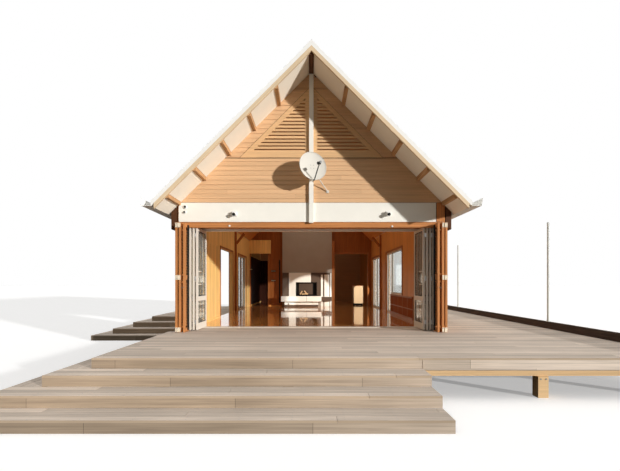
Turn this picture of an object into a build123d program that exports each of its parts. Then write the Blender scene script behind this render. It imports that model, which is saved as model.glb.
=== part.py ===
from build123d import *
import math
import os

# Beach house with a steep gabled roof, an open glazed front, louvred shutters,
# timber decks and steps. Millimetres, +Z up, ground at Z = 0, the front wall
# face at Y = 0, the house centre line at X = 0 and +Y into the house.

# Levels and steps
riser_height = 152.5
tread_run = 430
step_count = 3
deck_level = (step_count + 1) * riser_height
floor_thickness = 100
board_thickness = 30
riser_thickness = 25

# House plan
house_half_width = 3030
wall_thickness = 110
house_length = 14000
porch_depth = 840
base_wall_thickness = 150
cladding_thickness = 25

# Front head, from the bottom up
corner_post_top = 2981
head_fascia_thickness = 45
beam_bottom = 3107
beam_top = 3545
porch_ceiling_level = 3050
porch_ceiling_thickness = 25
door_track_height = 56
door_track_width = 90
door_track_setback = 10
door_sill_width = 200
door_sill_height = 12

# Roof
roof_pitch = 45
eave_level = 3416
roof_plumb_thickness = 110
eave_overhang = 300
gable_overhang = 864
roof_edge_thickness = 30
soffit_plumb_depth = 86
soffit_eave_gap = 250
barge_plumb_depth = 107
barge_thickness = 50
barge_eave_gap = 60
ridge_beam_width = 100
ridge_beam_depth = 124
ridge_cap_wing = 160
ridge_cap_thickness = 10
outrigger_width = 75
outrigger_drop = 14
outrigger_outset = 23
outrigger_spacing = 570

# Gutters and the pelmets outside the side walls
gutter_width = 200
gutter_lip = 25
gutter_wall = 6
gutter_drop = 106
gutter_rise = 165
pelmet_gap = 50
pelmet_width = 130
pelmet_outer_bottom = 2940
pelmet_inner_bottom = 3050

# Gable vents
vent_bottom_joint = 4572
vent_bottom_rail = 130
vent_side_stile = 87
vent_sloping_board = 100
vent_eave_margin = 425
slat_pitch = 80.8
slat_thickness = 14
slat_rise = 72
slat_inset = 14
slat_count = 15
slat_housing = 6
centre_post_width = 100
centre_post_depth = 60
centre_post_bottom = 3080

# Side walls
side_opening_head = 2850
left_openings = [(3600, 5600), (6700, 8600)]
right_openings = [(3520, 6100), (7500, 9400)]
window_joint = 5300
window_sill_level = 1310
back_opening_half_width = 1000
frame_face = 60
frame_depth = 70
glass_thickness = 8

# Folded glass leaves at the front
leaf_thickness = 40
leaf_front = 50
leaf_sill_gap = 6
leaf_stile = 70
leaf_bottom_rail = 150
leaf_middle_rail = 110
leaf_middle_level = 1345
leaf_gap = 35
left_stack_gap = 110
right_stack_gap = 80
left_leaf_count = 3
right_leaf_count = 4

# Folded louvred shutters at the front
shutter_corner_gap = 10
shutter_thickness = 45
shutter_width = 290
shutter_top = 3050
shutter_deck_gap = 8
shutter_stile = 60
shutter_rail = 90
shutter_middle_rail = 110
shutter_blade_pitch = 62
shutter_blade_thickness = 9
shutter_blade_inset = 3
shutter_blade_housing = 5
shutter_pair_gap = 33
shutter_middle_gap = 50
hinge_height = 110
hinge_projection = 10

# Room divider and fireplace
partition_front = 9720
partition_head_level = 3110
doorway_width = 880
kitchen_opening_left = 1130
kitchen_pier_width = 200
breast_depth = 300
breast_left = -1330
breast_right = 1000
surround_left = -1016
surround_right = 12
surround_top = 2190
surround_thickness = 80
firebox_left = -697
firebox_right = 294
firebox_top = 1743
firebox_depth = 230
firebox_wall = 12
bench_top = 1095
bench_thickness = 240
bench_left = -1363
bench_right = 496
bench_depth = 420
plinth_inset = 150

# Decks
deck_front = 3230
deck_left_margin = 200
right_deck_width = 2770
steps_right_end = 1620
side_decks_back = 9500
terrace_width = 2220
terrace_front = 3940
fascia_thickness = 25
joist_width = 45
joist_spacing = 600
bearer_height = 136
bearer_width = 90
bearer_setback = 120
rear_bearer_y = -1200
deck_post_size = 154
first_post_inset = 970
deck_post_spacing = 1900
first_side_post_y = 300
side_post_spacing = 2200
curb_width = 100
curb_height = 165
pole_diameter = 50
pole_height = 2400
pole_count = 2
first_pole_y = 530
pole_spacing = 5760

# Dish and lights on the front
dish_diameter = 640
dish_depth = 50
dish_thickness = 6
dish_hub_radius = 60
dish_ring_count = 5
dish_x = 16
dish_y = -369
dish_level = 4261
dish_turn = 23
dish_tilt = 8
dish_arm_diameter = 36
dish_plate_size = 90
dish_plate_thickness = 20
spotlight_x = 1750
spotlight_level = 3290
spotlight_size = 90

# Values that follow from the driving dimensions
slope = math.tan(math.radians(roof_pitch))
inner_half_width = house_half_width - wall_thickness
eave_half_width = house_half_width + eave_overhang
barge_half_width = eave_half_width - barge_eave_gap
ridge_level = eave_level + slope * eave_half_width
doorway_inner = doorway_width - inner_half_width
kitchen_opening_right = inner_half_width - kitchen_pier_width
deck_left = house_half_width + deck_left_margin
deck_right = house_half_width + right_deck_width
terrace_left = house_half_width + terrace_width
base_top = deck_level - floor_thickness
board_bottom = deck_level - board_thickness
fascia_bottom = deck_level - riser_height
front_overhang_y = -gable_overhang
back_overhang_y = house_length + gable_overhang
back_wall_front = house_length - wall_thickness
track_bottom = porch_ceiling_level - door_track_height


def roof_top(x):
    """Height of the roof's upper face at a distance x from the centre line."""
    return ridge_level - slope * abs(x)


def roof_under(x):
    """Height of the roof's lower face at a distance x from the centre line."""
    return roof_top(x) - roof_plumb_thickness


def soffit_under(x):
    """Height of the gable soffit's lower face at a distance x from the centre line."""
    return roof_under(x) - soffit_plumb_depth


def block(x_range, y_range, z_range, mode=Mode.ADD):
    """Add a square-cut block to the piece that is being built."""
    x_size = x_range[1] - x_range[0]
    y_size = y_range[1] - y_range[0]
    with BuildSketch(Plane.XY.offset(z_range[0])) as footprint:
        with Locations((x_range[0] + x_size / 2, y_range[0] + y_size / 2)):
            Rectangle(x_size, y_size)
    extrude(footprint.sketch, amount=z_range[1] - z_range[0], dir=(0, 0, 1), mode=mode)


def profile_along_y(points, y_range, mode=Mode.ADD):
    """Extrude a profile drawn in X and Z along the length of the house."""
    with BuildSketch(Plane.XZ.offset(-y_range[0])) as profile:
        Polygon(*points, align=None)
    extrude(profile.sketch, amount=y_range[1] - y_range[0], dir=(0, 1, 0), mode=mode)


def profile_along_x(points, x_range, mode=Mode.ADD):
    """Extrude a profile drawn in Y and Z across the house."""
    with BuildSketch(Plane.YZ.offset(x_range[0])) as profile:
        Polygon(*points, align=None)
    extrude(profile.sketch, amount=x_range[1] - x_range[0], dir=(1, 0, 0), mode=mode)


def span(side, near, far):
    """The X range between two distances from the centre line, on one side."""
    return tuple(sorted((side * near, side * far)))


def keep(piece, label):
    """Label a finished piece and write its file."""
    piece.part.label = label
    export_step(piece.part, f"parts/{label}.step")


def single_block(label, x_range, y_range, z_range):
    """A piece that is one square-cut block."""
    with BuildPart() as piece:
        block(x_range, y_range, z_range)
    keep(piece, label)


def make_base():
    """Perimeter foundation walls, floor and the decked porch."""
    with BuildPart() as base_side_walls:
        for side in (-1, 1):
            x_range = span(side, house_half_width - base_wall_thickness, house_half_width)
            block(x_range, (0, house_length), (0, base_top))
    keep(base_side_walls, "base_side_walls")

    between = house_half_width - base_wall_thickness
    with BuildPart() as base_end_walls:
        for y_start in (0, house_length - base_wall_thickness):
            y_range = (y_start, y_start + base_wall_thickness)
            block((-between, between), y_range, (0, base_top))
    keep(base_end_walls, "base_end_walls")

    full_width = (-house_half_width, house_half_width)
    single_block("floor", full_width, (porch_depth, house_length), (base_top, deck_level))
    single_block("porch_deck", full_width, (0, porch_depth), (base_top, deck_level))


def make_side_wall(side, name, openings, low_walls):
    """Wall piers between the side doors, low walls under windows, and the wall head."""
    x_range = span(side, inner_half_width, house_half_width)
    starts = [wall_thickness] + [opening[1] for opening in openings]
    ends = [opening[0] for opening in openings] + [back_wall_front]
    with BuildPart() as piers:
        for y_range in zip(starts, ends):
            block(x_range, y_range, (deck_level, side_opening_head))
        for y_range in low_walls:
            block(x_range, y_range, (deck_level, window_sill_level))
    keep(piers, f"{name}_wall")

    head_profile = [
        (side * inner_half_width, side_opening_head),
        (side * house_half_width, side_opening_head),
        (side * house_half_width, roof_under(house_half_width)),
        (side * inner_half_width, roof_under(inner_half_width)),
    ]
    with BuildPart() as head:
        profile_along_y(head_profile, (wall_thickness, back_wall_front))
    keep(head, f"{name}_wall_head")


def make_corner_posts():
    """Posts at the two front corners that carry the front beam."""
    with BuildPart() as corner_posts:
        for side in (-1, 1):
            x_range = span(side, inner_half_width, house_half_width)
            block(x_range, (0, wall_thickness), (deck_level, corner_post_top))
    keep(corner_posts, "corner_posts")


def make_front_head():
    """Timber fascia and white beam over the front opening, with the porch head."""
    full_width = (-house_half_width, house_half_width)
    fascia_y = (0, head_fascia_thickness)
    single_block("front_head_fascia", full_width, fascia_y, (corner_post_top, beam_bottom))
    beam_y = (-cladding_thickness, wall_thickness)
    single_block("front_beam", full_width, beam_y, (beam_bottom, beam_top))

    between = (-inner_half_width, inner_half_width)
    head_front = porch_depth - wall_thickness
    ceiling_z = (porch_ceiling_level, porch_ceiling_level + porch_ceiling_thickness)
    single_block("porch_ceiling", between, (wall_thickness, head_front), ceiling_z)
    single_block("door_head_beam", between, (head_front, porch_depth), (porch_ceiling_level, beam_top))

    track_back = porch_depth - door_track_setback
    track_y = (track_back - door_track_width, track_back)
    single_block("door_track", between, track_y, (track_bottom, porch_ceiling_level))
    sill_z = (deck_level, deck_level + door_sill_height)
    single_block("door_sill", between, (porch_depth - door_sill_width, porch_depth), sill_z)


def ridge_beam_profile():
    """Ridge beam section with a peaked top that fits under the two roof slopes."""
    half = ridge_beam_width / 2
    bottom = roof_under(half) - ridge_beam_depth
    return [
        (-half, bottom),
        (half, bottom),
        (half, roof_under(half)),
        (0, roof_under(0)),
        (-half, roof_under(half)),
    ]


# Each vent fills a right triangle beside the centre post. On its sloping side
# the distance from the centre line plus the height over the slope is constant.
vent_inner_x = centre_post_width / 2
vent_sum = roof_under(0) - vent_eave_margin
board_plumb = vent_sloping_board / math.cos(math.radians(roof_pitch))
louvre_bottom = vent_bottom_joint + vent_bottom_rail
louvre_inner_x = vent_inner_x + vent_side_stile


def triangle(side, inner_x, bottom, level_at_centre):
    """Right triangle under a sloping line, given by its height at the centre line."""
    return [
        (side * inner_x, bottom),
        (side * (level_at_centre - bottom) / slope, bottom),
        (side * inner_x, level_at_centre - slope * inner_x),
    ]


def make_gable_wall(label, y_range):
    """Gable wall over the beam, with two triangular vent holes and the ridge notch."""
    outline = [
        (-house_half_width, beam_top),
        (house_half_width, beam_top),
        (house_half_width, roof_under(house_half_width)),
        (0, roof_under(0)),
        (-house_half_width, roof_under(house_half_width)),
    ]
    with BuildPart() as gable_wall:
        profile_along_y(outline, y_range)
        for side in (-1, 1):
            hole = triangle(side, vent_inner_x, vent_bottom_joint, vent_sum)
            profile_along_y(hole, y_range, mode=Mode.SUBTRACT)
        profile_along_y(ridge_beam_profile(), y_range, mode=Mode.SUBTRACT)
    keep(gable_wall, label)


def louvre_slats(side, outer_face, outward):
    """Slats of one vent, each tilted down to the outside and cut to the slope."""
    x_range = span(side, louvre_inner_x - slat_housing, (vent_sum - louvre_bottom) / slope)
    first_level = louvre_bottom + slat_housing
    stack_middle = first_level + (slat_count - 1) * slat_pitch / 2
    inward = -outward
    section = [
        (inward * slat_inset, 0),
        (inward * (slat_inset + slat_rise), slat_rise),
        (inward * (slat_inset + slat_rise), slat_rise + slat_thickness),
        (inward * slat_inset, slat_thickness),
    ]
    with BuildPart() as slats:
        with BuildSketch(Plane.YZ.offset(x_range[0])) as sections:
            with Locations((outer_face, stack_middle)):
                with GridLocations(0, slat_pitch, 1, slat_count):
                    Polygon(*section, align=None)
        extrude(sections.sketch, amount=x_range[1] - x_range[0], dir=(1, 0, 0))
        limit = triangle(
            side,
            louvre_inner_x - slat_housing,
            louvre_bottom - slat_housing,
            vent_sum - board_plumb + slat_housing,
        )
        wall_y = tuple(sorted((outer_face, outer_face - outward * (wall_thickness + cladding_thickness))))
        profile_along_y(limit, wall_y, mode=Mode.INTERSECT)
    return slats.part


def make_gable_vents(label, outer_face, outward):
    """Two triangular louvred vents: frame boards and slats housed in them."""
    inner_face = outer_face - outward * (wall_thickness + cladding_thickness)
    y_range = tuple(sorted((outer_face, inner_face)))
    slats = [louvre_slats(side, outer_face, outward) for side in (-1, 1)]
    with BuildPart() as vents:
        for side in (-1, 1):
            frame = triangle(side, vent_inner_x, vent_bottom_joint, vent_sum)
            profile_along_y(frame, y_range)
        for side in (-1, 1):
            gap = triangle(side, louvre_inner_x, louvre_bottom, vent_sum - board_plumb)
            profile_along_y(gap, y_range, mode=Mode.SUBTRACT)
        for side_slats in slats:
            add(side_slats)
    keep(vents, label)


def make_centre_posts():
    """White posts up the middle of both gables, notched over the front beam."""
    half = centre_post_width / 2
    top = roof_under(half) - ridge_beam_depth
    face = cladding_thickness + centre_post_depth
    front_section = [
        (-face, centre_post_bottom),
        (-cladding_thickness, centre_post_bottom),
        (-cladding_thickness, beam_top),
        (0, beam_top),
        (0, top),
        (-face, top),
    ]
    with BuildPart() as centre_posts:
        profile_along_x(front_section, (-half, half))
        block((-half, half), (house_length, house_length + face), (beam_top, top))
    keep(centre_posts, "centre_posts")


def make_back_wall():
    """Back wall beside and over the back doors."""
    y_range = (back_wall_front, house_length)
    with BuildPart() as back_wall:
        for side in (-1, 1):
            x_range = span(side, back_opening_half_width, house_half_width)
            block(x_range, y_range, (deck_level, side_opening_head))
    keep(back_wall, "back_wall")
    full_width = (-house_half_width, house_half_width)
    single_block("back_wall_head", full_width, y_range, (side_opening_head, beam_top))


def make_roof():
    """Two roof slopes, their white gable edges, ridge cap and ridge beam."""
    slab_y = (front_overhang_y + roof_edge_thickness, back_overhang_y - roof_edge_thickness)
    for side, name in ((-1, "left"), (1, "right")):
        section = [
            (0, roof_top(0)),
            (side * eave_half_width, roof_top(eave_half_width)),
            (side * eave_half_width, roof_under(eave_half_width)),
            (0, roof_under(0)),
        ]
        with BuildPart() as roof:
            profile_along_y(section, slab_y)
        keep(roof, f"roof_{name}")

    edge = [
        (-eave_half_width, roof_top(eave_half_width)),
        (0, roof_top(0)),
        (eave_half_width, roof_top(eave_half_width)),
        (eave_half_width, roof_under(eave_half_width)),
        (0, roof_under(0)),
        (-eave_half_width, roof_under(eave_half_width)),
    ]
    with BuildPart() as roof_edges:
        profile_along_y(edge, (front_overhang_y, slab_y[0]))
        profile_along_y(edge, (slab_y[1], back_overhang_y))
    keep(roof_edges, "roof_edges")

    wing_drop = slope * ridge_cap_wing
    cap = [
        (-ridge_cap_wing, roof_top(ridge_cap_wing)),
        (0, roof_top(0)),
        (ridge_cap_wing, roof_top(ridge_cap_wing)),
        (ridge_cap_wing, ridge_level - wing_drop + ridge_cap_thickness),
        (0, ridge_level + ridge_cap_thickness),
        (-ridge_cap_wing, ridge_level - wing_drop + ridge_cap_thickness),
    ]
    with BuildPart() as ridge_cap:
        profile_along_y(cap, (front_overhang_y, back_overhang_y))
    keep(ridge_cap, "ridge_cap")

    beam_y = (front_overhang_y + barge_thickness, back_overhang_y - barge_thickness)
    with BuildPart() as ridge_beam:
        profile_along_y(ridge_beam_profile(), beam_y)
    keep(ridge_beam, "ridge_beam")


def make_barge_boards():
    """Timber barge boards under the roof's white gable edges."""
    section = [
        (-barge_half_width, roof_under(barge_half_width)),
        (0, roof_under(0)),
        (barge_half_width, roof_under(barge_half_width)),
        (barge_half_width, roof_under(barge_half_width) - barge_plumb_depth),
        (0, roof_under(0) - barge_plumb_depth),
        (-barge_half_width, roof_under(barge_half_width) - barge_plumb_depth),
    ]
    with BuildPart() as barge_boards:
        profile_along_y(section, (front_overhang_y, front_overhang_y + barge_thickness))
        profile_along_y(section, (back_overhang_y - barge_thickness, back_overhang_y))
    keep(barge_boards, "barge_boards")


def make_gable_soffits():
    """Soffits under the gable overhangs and the level timbers that cross below them."""
    beam_x = (-house_half_width, house_half_width)
    beam_y = (-cladding_thickness, 0)
    beam_z = (beam_bottom, beam_top)
    front_y = (front_overhang_y + barge_thickness, 0)
    back_y = (house_length, back_overhang_y - barge_thickness)
    near = ridge_beam_width / 2
    far = eave_half_width - soffit_eave_gap
    with BuildPart() as gable_soffits:
        for side in (-1, 1):
            section = [
                (side * near, roof_under(near)),
                (side * far, roof_under(far)),
                (side * far, soffit_under(far)),
                (side * near, soffit_under(near)),
            ]
            profile_along_y(section, front_y)
            profile_along_y(section, back_y)
        block(beam_x, beam_y, beam_z, mode=Mode.SUBTRACT)
    keep(gable_soffits, "gable_soffits")

    outermost = house_half_width + outrigger_outset
    with BuildPart() as outriggers:
        for side in (-1, 1):
            for index in range(int(outermost / outrigger_spacing)):
                outer = outermost - index * outrigger_spacing
                inner = outer - outrigger_width
                bottom = soffit_under(outer) - outrigger_drop
                section = [
                    (side * inner, bottom),
                    (side * outer, bottom),
                    (side * outer, soffit_under(outer)),
                    (side * inner, soffit_under(inner)),
                ]
                profile_along_y(section, front_y)
                profile_along_y(section, back_y)
        block(beam_x, beam_y, beam_z, mode=Mode.SUBTRACT)
    keep(outriggers, "outriggers")


def make_gutters():
    """Open gutters hung on both eaves."""
    outer_x = eave_half_width + gutter_width
    gutter_bottom = roof_top(eave_half_width) - gutter_drop
    top = gutter_bottom + gutter_rise
    with BuildPart() as gutters:
        for side in (-1, 1):
            section = [
                (side * eave_half_width, roof_top(eave_half_width)),
                (side * eave_half_width, gutter_bottom),
                (side * outer_x, gutter_bottom),
                (side * (outer_x + gutter_lip), top),
                (side * (outer_x + gutter_lip - gutter_wall), top),
                (side * (outer_x - gutter_wall), gutter_bottom + gutter_wall),
                (side * (eave_half_width + gutter_wall), gutter_bottom + gutter_wall),
                (side * (eave_half_width + gutter_wall), roof_top(eave_half_width)),
            ]
            profile_along_y(section, (front_overhang_y, back_overhang_y))
    keep(gutters, "gutters")


def make_pelmets():
    """Boxed pelmets under the eaves, outside the side walls, with a slanted foot."""
    near = house_half_width + pelmet_gap
    far = near + pelmet_width
    with BuildPart() as pelmets:
        for side in (-1, 1):
            section = [
                (side * near, roof_under(near)),
                (side * far, roof_under(far)),
                (side * far, pelmet_outer_bottom),
                (side * near, pelmet_inner_bottom),
            ]
            profile_along_y(section, (0, house_length))
    keep(pelmets, "pelmets")


def door_panes():
    """Outlines of the two panes in a front leaf, as Y and Z ranges."""
    y_range = (leaf_front + leaf_stile, porch_depth - door_track_setback - leaf_stile)
    bottom = deck_level + door_sill_height + leaf_sill_gap
    middle = (leaf_middle_level - leaf_middle_rail / 2, leaf_middle_level + leaf_middle_rail / 2)
    return [
        (y_range, (bottom + leaf_bottom_rail, middle[0])),
        (y_range, (middle[1], track_bottom - leaf_stile)),
    ]


def leaf_positions():
    """X ranges of the folded front leaves, left stack first, each from the wall inwards."""
    pitch = leaf_thickness + leaf_gap
    stacks = ((-1, left_stack_gap, left_leaf_count), (1, right_stack_gap, right_leaf_count))
    positions = []
    for side, wall_gap, count in stacks:
        for index in range(count):
            far = inner_half_width - wall_gap - index * pitch
            positions.append(span(side, far - leaf_thickness, far))
    return positions


def side_frames():
    """Glazed frames in the side walls: side, Y range, joint of the two panes, near sill."""
    left_far, right_near, right_far = left_openings[1], right_openings[0], right_openings[1]
    return [
        (-1, left_far, sum(left_far) / 2, deck_level),
        (1, right_near, window_joint, window_sill_level),
        (1, right_far, sum(right_far) / 2, deck_level),
    ]


def wall_frame_panes(span_range, joint, near_sill):
    """Outlines of the two panes in a wall frame: range along the wall and Z range."""
    top = side_opening_head - frame_face
    return [
        ((span_range[0] + frame_face, joint - frame_face / 2), (near_sill + frame_face, top)),
        ((joint + frame_face / 2, span_range[1] - frame_face), (deck_level + frame_face, top)),
    ]


def make_door_leaves():
    """Glazed door leaves folded against both sides of the front opening."""
    leaf_y = (leaf_front, porch_depth - door_track_setback)
    leaf_z = (deck_level + door_sill_height + leaf_sill_gap, track_bottom)
    with BuildPart() as door_leaves:
        for x_range in leaf_positions():
            block(x_range, leaf_y, leaf_z)
            for pane_y, pane_z in door_panes():
                block(x_range, pane_y, pane_z, mode=Mode.SUBTRACT)
    keep(door_leaves, "door_leaves")


def make_wall_door_frames():
    """White frames of the glazed doors in the side and back walls."""
    wall_middle = house_half_width - wall_thickness / 2
    back_middle = house_length - wall_thickness / 2
    back_x = (-back_opening_half_width, back_opening_half_width)
    back_y = (back_middle - frame_depth / 2, back_middle + frame_depth / 2)
    with BuildPart() as frames:
        block(back_x, back_y, (deck_level, side_opening_head))
        for pane_x, pane_z in wall_frame_panes(back_x, 0, deck_level):
            block(pane_x, back_y, pane_z, mode=Mode.SUBTRACT)
        for side, y_range, joint, near_sill in side_frames():
            x_range = span(side, wall_middle - frame_depth / 2, wall_middle + frame_depth / 2)
            block(x_range, (y_range[0], joint), (near_sill, side_opening_head))
            block(x_range, (joint, y_range[1]), (deck_level, side_opening_head))
            for pane_y, pane_z in wall_frame_panes(y_range, joint, near_sill):
                block(x_range, pane_y, pane_z, mode=Mode.SUBTRACT)
    keep(frames, "wall_door_frames")


def make_glass():
    """Panes of the front leaves, the side doors and the back doors."""
    wall_middle = house_half_width - wall_thickness / 2
    back_middle = house_length - wall_thickness / 2
    glass_y = (back_middle - glass_thickness / 2, back_middle + glass_thickness / 2)
    with BuildPart() as glass_panes:
        for x_range in leaf_positions():
            middle = (x_range[0] + x_range[1]) / 2
            pane_x = (middle - glass_thickness / 2, middle + glass_thickness / 2)
            for pane_y, pane_z in door_panes():
                block(pane_x, pane_y, pane_z)
        for side, y_range, joint, near_sill in side_frames():
            pane_x = span(side, wall_middle - glass_thickness / 2, wall_middle + glass_thickness / 2)
            for pane_y, pane_z in wall_frame_panes(y_range, joint, near_sill):
                block(pane_x, pane_y, pane_z)
        back_x = (-back_opening_half_width, back_opening_half_width)
        for pane_x, pane_z in wall_frame_panes(back_x, 0, deck_level):
            block(pane_x, glass_y, pane_z)
    keep(glass_panes, "glass_panes")


def shutter_positions(side):
    """X ranges of the folded shutter leaves on one side, outermost first."""
    outer = house_half_width - shutter_corner_gap
    first = span(side, outer - shutter_thickness, outer)
    second_outer = outer - shutter_thickness - shutter_pair_gap
    second = span(side, second_outer - shutter_thickness, second_outer)
    third_outer = second_outer - shutter_thickness - shutter_middle_gap
    third = span(side, third_outer - shutter_thickness, third_outer)
    return [first, second, third]


def shutter_blades(side, x_range, gap_y, banks):
    """Tilted blades of one shutter leaf, housed in its two stiles."""
    half_width = shutter_thickness / 2 - shutter_blade_inset
    half_thickness = shutter_blade_thickness / 2
    section = [
        (-side * half_width, -half_width - half_thickness),
        (side * half_width, half_width - half_thickness),
        (side * half_width, half_width + half_thickness),
        (-side * half_width, -half_width + half_thickness),
    ]
    with BuildPart() as blades:
        with BuildSketch(Plane.XZ.offset(-gap_y[0] + shutter_blade_housing)) as sections:
            for bank in banks:
                count = int((bank[1] - bank[0] - 2 * half_width) / shutter_blade_pitch)
                with Locations(((x_range[0] + x_range[1]) / 2, (bank[0] + bank[1]) / 2)):
                    with GridLocations(0, shutter_blade_pitch, 1, count):
                        Polygon(*section, align=None)
        length = gap_y[1] - gap_y[0] + 2 * shutter_blade_housing
        extrude(sections.sketch, amount=length, dir=(0, 1, 0))
    return blades.part


def make_shutters(side, name):
    """Folded louvred shutter leaves hinged together in front of a corner post."""
    bottom = deck_level + shutter_deck_gap
    middle = (bottom + shutter_top) / 2
    half_rail = shutter_middle_rail / 2
    banks = [
        (bottom + shutter_rail, middle - half_rail),
        (middle + half_rail, shutter_top - shutter_rail),
    ]
    gap_y = (-shutter_width + shutter_stile, -shutter_stile)
    leaves = shutter_positions(side)
    with BuildPart() as shutters:
        for x_range in leaves:
            block(x_range, (-shutter_width, 0), (bottom, shutter_top))
            for bank in banks:
                block(x_range, gap_y, bank, mode=Mode.SUBTRACT)
            add(shutter_blades(side, x_range, gap_y, banks))
        for level in (bottom, middle - hinge_height / 2, shutter_top - hinge_height):
            hinge_x = (min(leaves[0][0], leaves[1][0]), max(leaves[0][1], leaves[1][1]))
            hinge_z = (level, level + hinge_height)
            block(hinge_x, (-shutter_width - hinge_projection, -shutter_width), hinge_z)
            inner_x = (min(leaves[1][0], leaves[2][0]), max(leaves[1][1], leaves[2][1]))
            block(inner_x, (-shutter_stile, -shutter_stile + hinge_projection), hinge_z)
    keep(shutters, f"{name}_shutters")


def make_partition():
    """Timber partition across the house, with a doorway and a kitchen opening."""
    y_range = (partition_front, partition_front + wall_thickness)
    with BuildPart() as panels:
        for x_range in ((doorway_inner, kitchen_opening_left), (kitchen_opening_right, inner_half_width)):
            block(x_range, y_range, (deck_level, partition_head_level))
    keep(panels, "partition_panels")

    outline = [
        (-inner_half_width, partition_head_level),
        (inner_half_width, partition_head_level),
        (inner_half_width, roof_under(inner_half_width)),
        (0, roof_under(0)),
        (-inner_half_width, roof_under(inner_half_width)),
    ]
    with BuildPart() as head:
        profile_along_y(outline, y_range)
        profile_along_y(ridge_beam_profile(), y_range, mode=Mode.SUBTRACT)
    keep(head, "partition_head")


def make_fireplace():
    """Plastered chimney breast with a white surround, firebox and hearth bench."""
    breast_y = (partition_front - breast_depth, partition_front)
    firebox_x = (firebox_left, firebox_right)
    firebox_z = (bench_top, firebox_top)
    firebox_y = (breast_y[0], breast_y[0] + firebox_depth)
    outline = [
        (breast_left, deck_level),
        (breast_right, deck_level),
        (breast_right, roof_under(breast_right)),
        (0, roof_under(0)),
        (breast_left, roof_under(breast_left)),
    ]
    with BuildPart() as breast:
        profile_along_y(outline, breast_y)
        profile_along_y(ridge_beam_profile(), breast_y, mode=Mode.SUBTRACT)
        block(firebox_x, firebox_y, firebox_z, mode=Mode.SUBTRACT)
    keep(breast, "chimney_breast")

    with BuildPart() as firebox:
        block(firebox_x, firebox_y, firebox_z)
        inner_x = (firebox_left + firebox_wall, firebox_right - firebox_wall)
        inner_z = (bench_top + firebox_wall, firebox_top - firebox_wall)
        block(inner_x, (firebox_y[0], firebox_y[1] - firebox_wall), inner_z, mode=Mode.SUBTRACT)
    keep(firebox, "firebox")

    surround_y = (breast_y[0] - surround_thickness, breast_y[0])
    with BuildPart() as surround:
        block((surround_left, surround_right), surround_y, (bench_top, surround_top))
        block(firebox_x, surround_y, firebox_z, mode=Mode.SUBTRACT)
    keep(surround, "fireplace_surround")

    bench_y = (breast_y[0] - bench_depth, breast_y[0])
    with BuildPart() as bench:
        block((bench_left, bench_right), bench_y, (bench_top - bench_thickness, bench_top))
        plinth_x = (bench_left + plinth_inset, bench_right - plinth_inset)
        block(plinth_x, (bench_y[0] + plinth_inset, bench_y[1]), (deck_level, bench_top - bench_thickness))
    keep(bench, "hearth_bench")


def make_decks():
    """Deck boards as plates: in front, along the right side, and the left terrace."""
    boards_z = (board_bottom, deck_level)
    single_block("front_deck", (-deck_left, deck_right), (-deck_front, 0), boards_z)
    single_block("right_deck", (house_half_width, deck_right), (0, side_decks_back), boards_z)
    terrace_y = (terrace_front, side_decks_back)
    single_block("terrace_deck", (-terrace_left, -house_half_width), terrace_y, boards_z)

    fascia_z = (fascia_bottom, board_bottom)
    with BuildPart() as front_fascias:
        block((-deck_left, deck_right), (-deck_front, -deck_front + fascia_thickness), fascia_z)
        terrace_fascia_y = (terrace_front, terrace_front + fascia_thickness)
        block((-terrace_left, -house_half_width), terrace_fascia_y, fascia_z)
        back_y = (side_decks_back - fascia_thickness, side_decks_back)
        block((house_half_width, deck_right), back_y, fascia_z)
        block((-terrace_left, -house_half_width), back_y, fascia_z)
    keep(front_fascias, "front_fascias")

    with BuildPart() as side_fascias:
        block((-deck_left, -deck_left + fascia_thickness), (-deck_front + fascia_thickness, 0), fascia_z)
        right_y = (-deck_front + fascia_thickness, side_decks_back - fascia_thickness)
        block((deck_right - fascia_thickness, deck_right), right_y, fascia_z)
        left_y = (terrace_front + fascia_thickness, side_decks_back - fascia_thickness)
        block((-terrace_left, -terrace_left + fascia_thickness), left_y, fascia_z)
    keep(side_fascias, "side_fascias")


def make_deck_frame():
    """Posts and bearers that carry the decks."""
    bearer_z = (fascia_bottom - bearer_height, fascia_bottom)
    front_bearer_y = -deck_front + bearer_setback
    rows = (front_bearer_y, rear_bearer_y)
    front_bearer_x = (-deck_left + bearer_setback, deck_right - bearer_setback)
    right_bearer_x = front_bearer_x[1] - bearer_width
    with BuildPart() as bearers:
        for y_start in rows:
            block(front_bearer_x, (y_start, y_start + bearer_width), bearer_z)
        side_y = (0, side_decks_back - bearer_setback)
        block((right_bearer_x, front_bearer_x[1]), side_y, bearer_z)
    keep(bearers, "deck_bearers")

    joist_z = (fascia_bottom, board_bottom)
    joist_y = (-deck_front + fascia_thickness, 0)
    joist_x = (house_half_width, deck_right - fascia_thickness)
    with BuildPart() as joists:
        joist_run = deck_left + deck_right - 2 * fascia_thickness - joist_width
        for index in range(int(joist_run / joist_spacing) + 1):
            x_start = -deck_left + fascia_thickness + index * joist_spacing
            block((x_start, x_start + joist_width), joist_y, joist_z)
        right_run = side_decks_back - fascia_thickness - joist_width
        for index in range(1, int(right_run / joist_spacing) + 1):
            y_start = index * joist_spacing
            block(joist_x, (y_start, y_start + joist_width), joist_z)
    keep(joists, "deck_joists")

    def post(x_middle, y_middle):
        block((x_middle - half, x_middle + half), (y_middle - half, y_middle + half), (0, bearer_z[0]))

    half = deck_post_size / 2
    with BuildPart() as posts:
        front_run = deck_left + deck_right - first_post_inset - bearer_setback - half
        for index in range(int(front_run / deck_post_spacing) + 1):
            x_middle = -deck_left + first_post_inset + index * deck_post_spacing
            for y_start in rows:
                post(x_middle, y_start + bearer_width / 2)
        x_middle = right_bearer_x + bearer_width / 2
        side_run = side_decks_back - bearer_setback - first_side_post_y - half
        for index in range(int(side_run / side_post_spacing) + 1):
            post(x_middle, first_side_post_y + index * side_post_spacing)
    keep(posts, "deck_posts")


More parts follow.
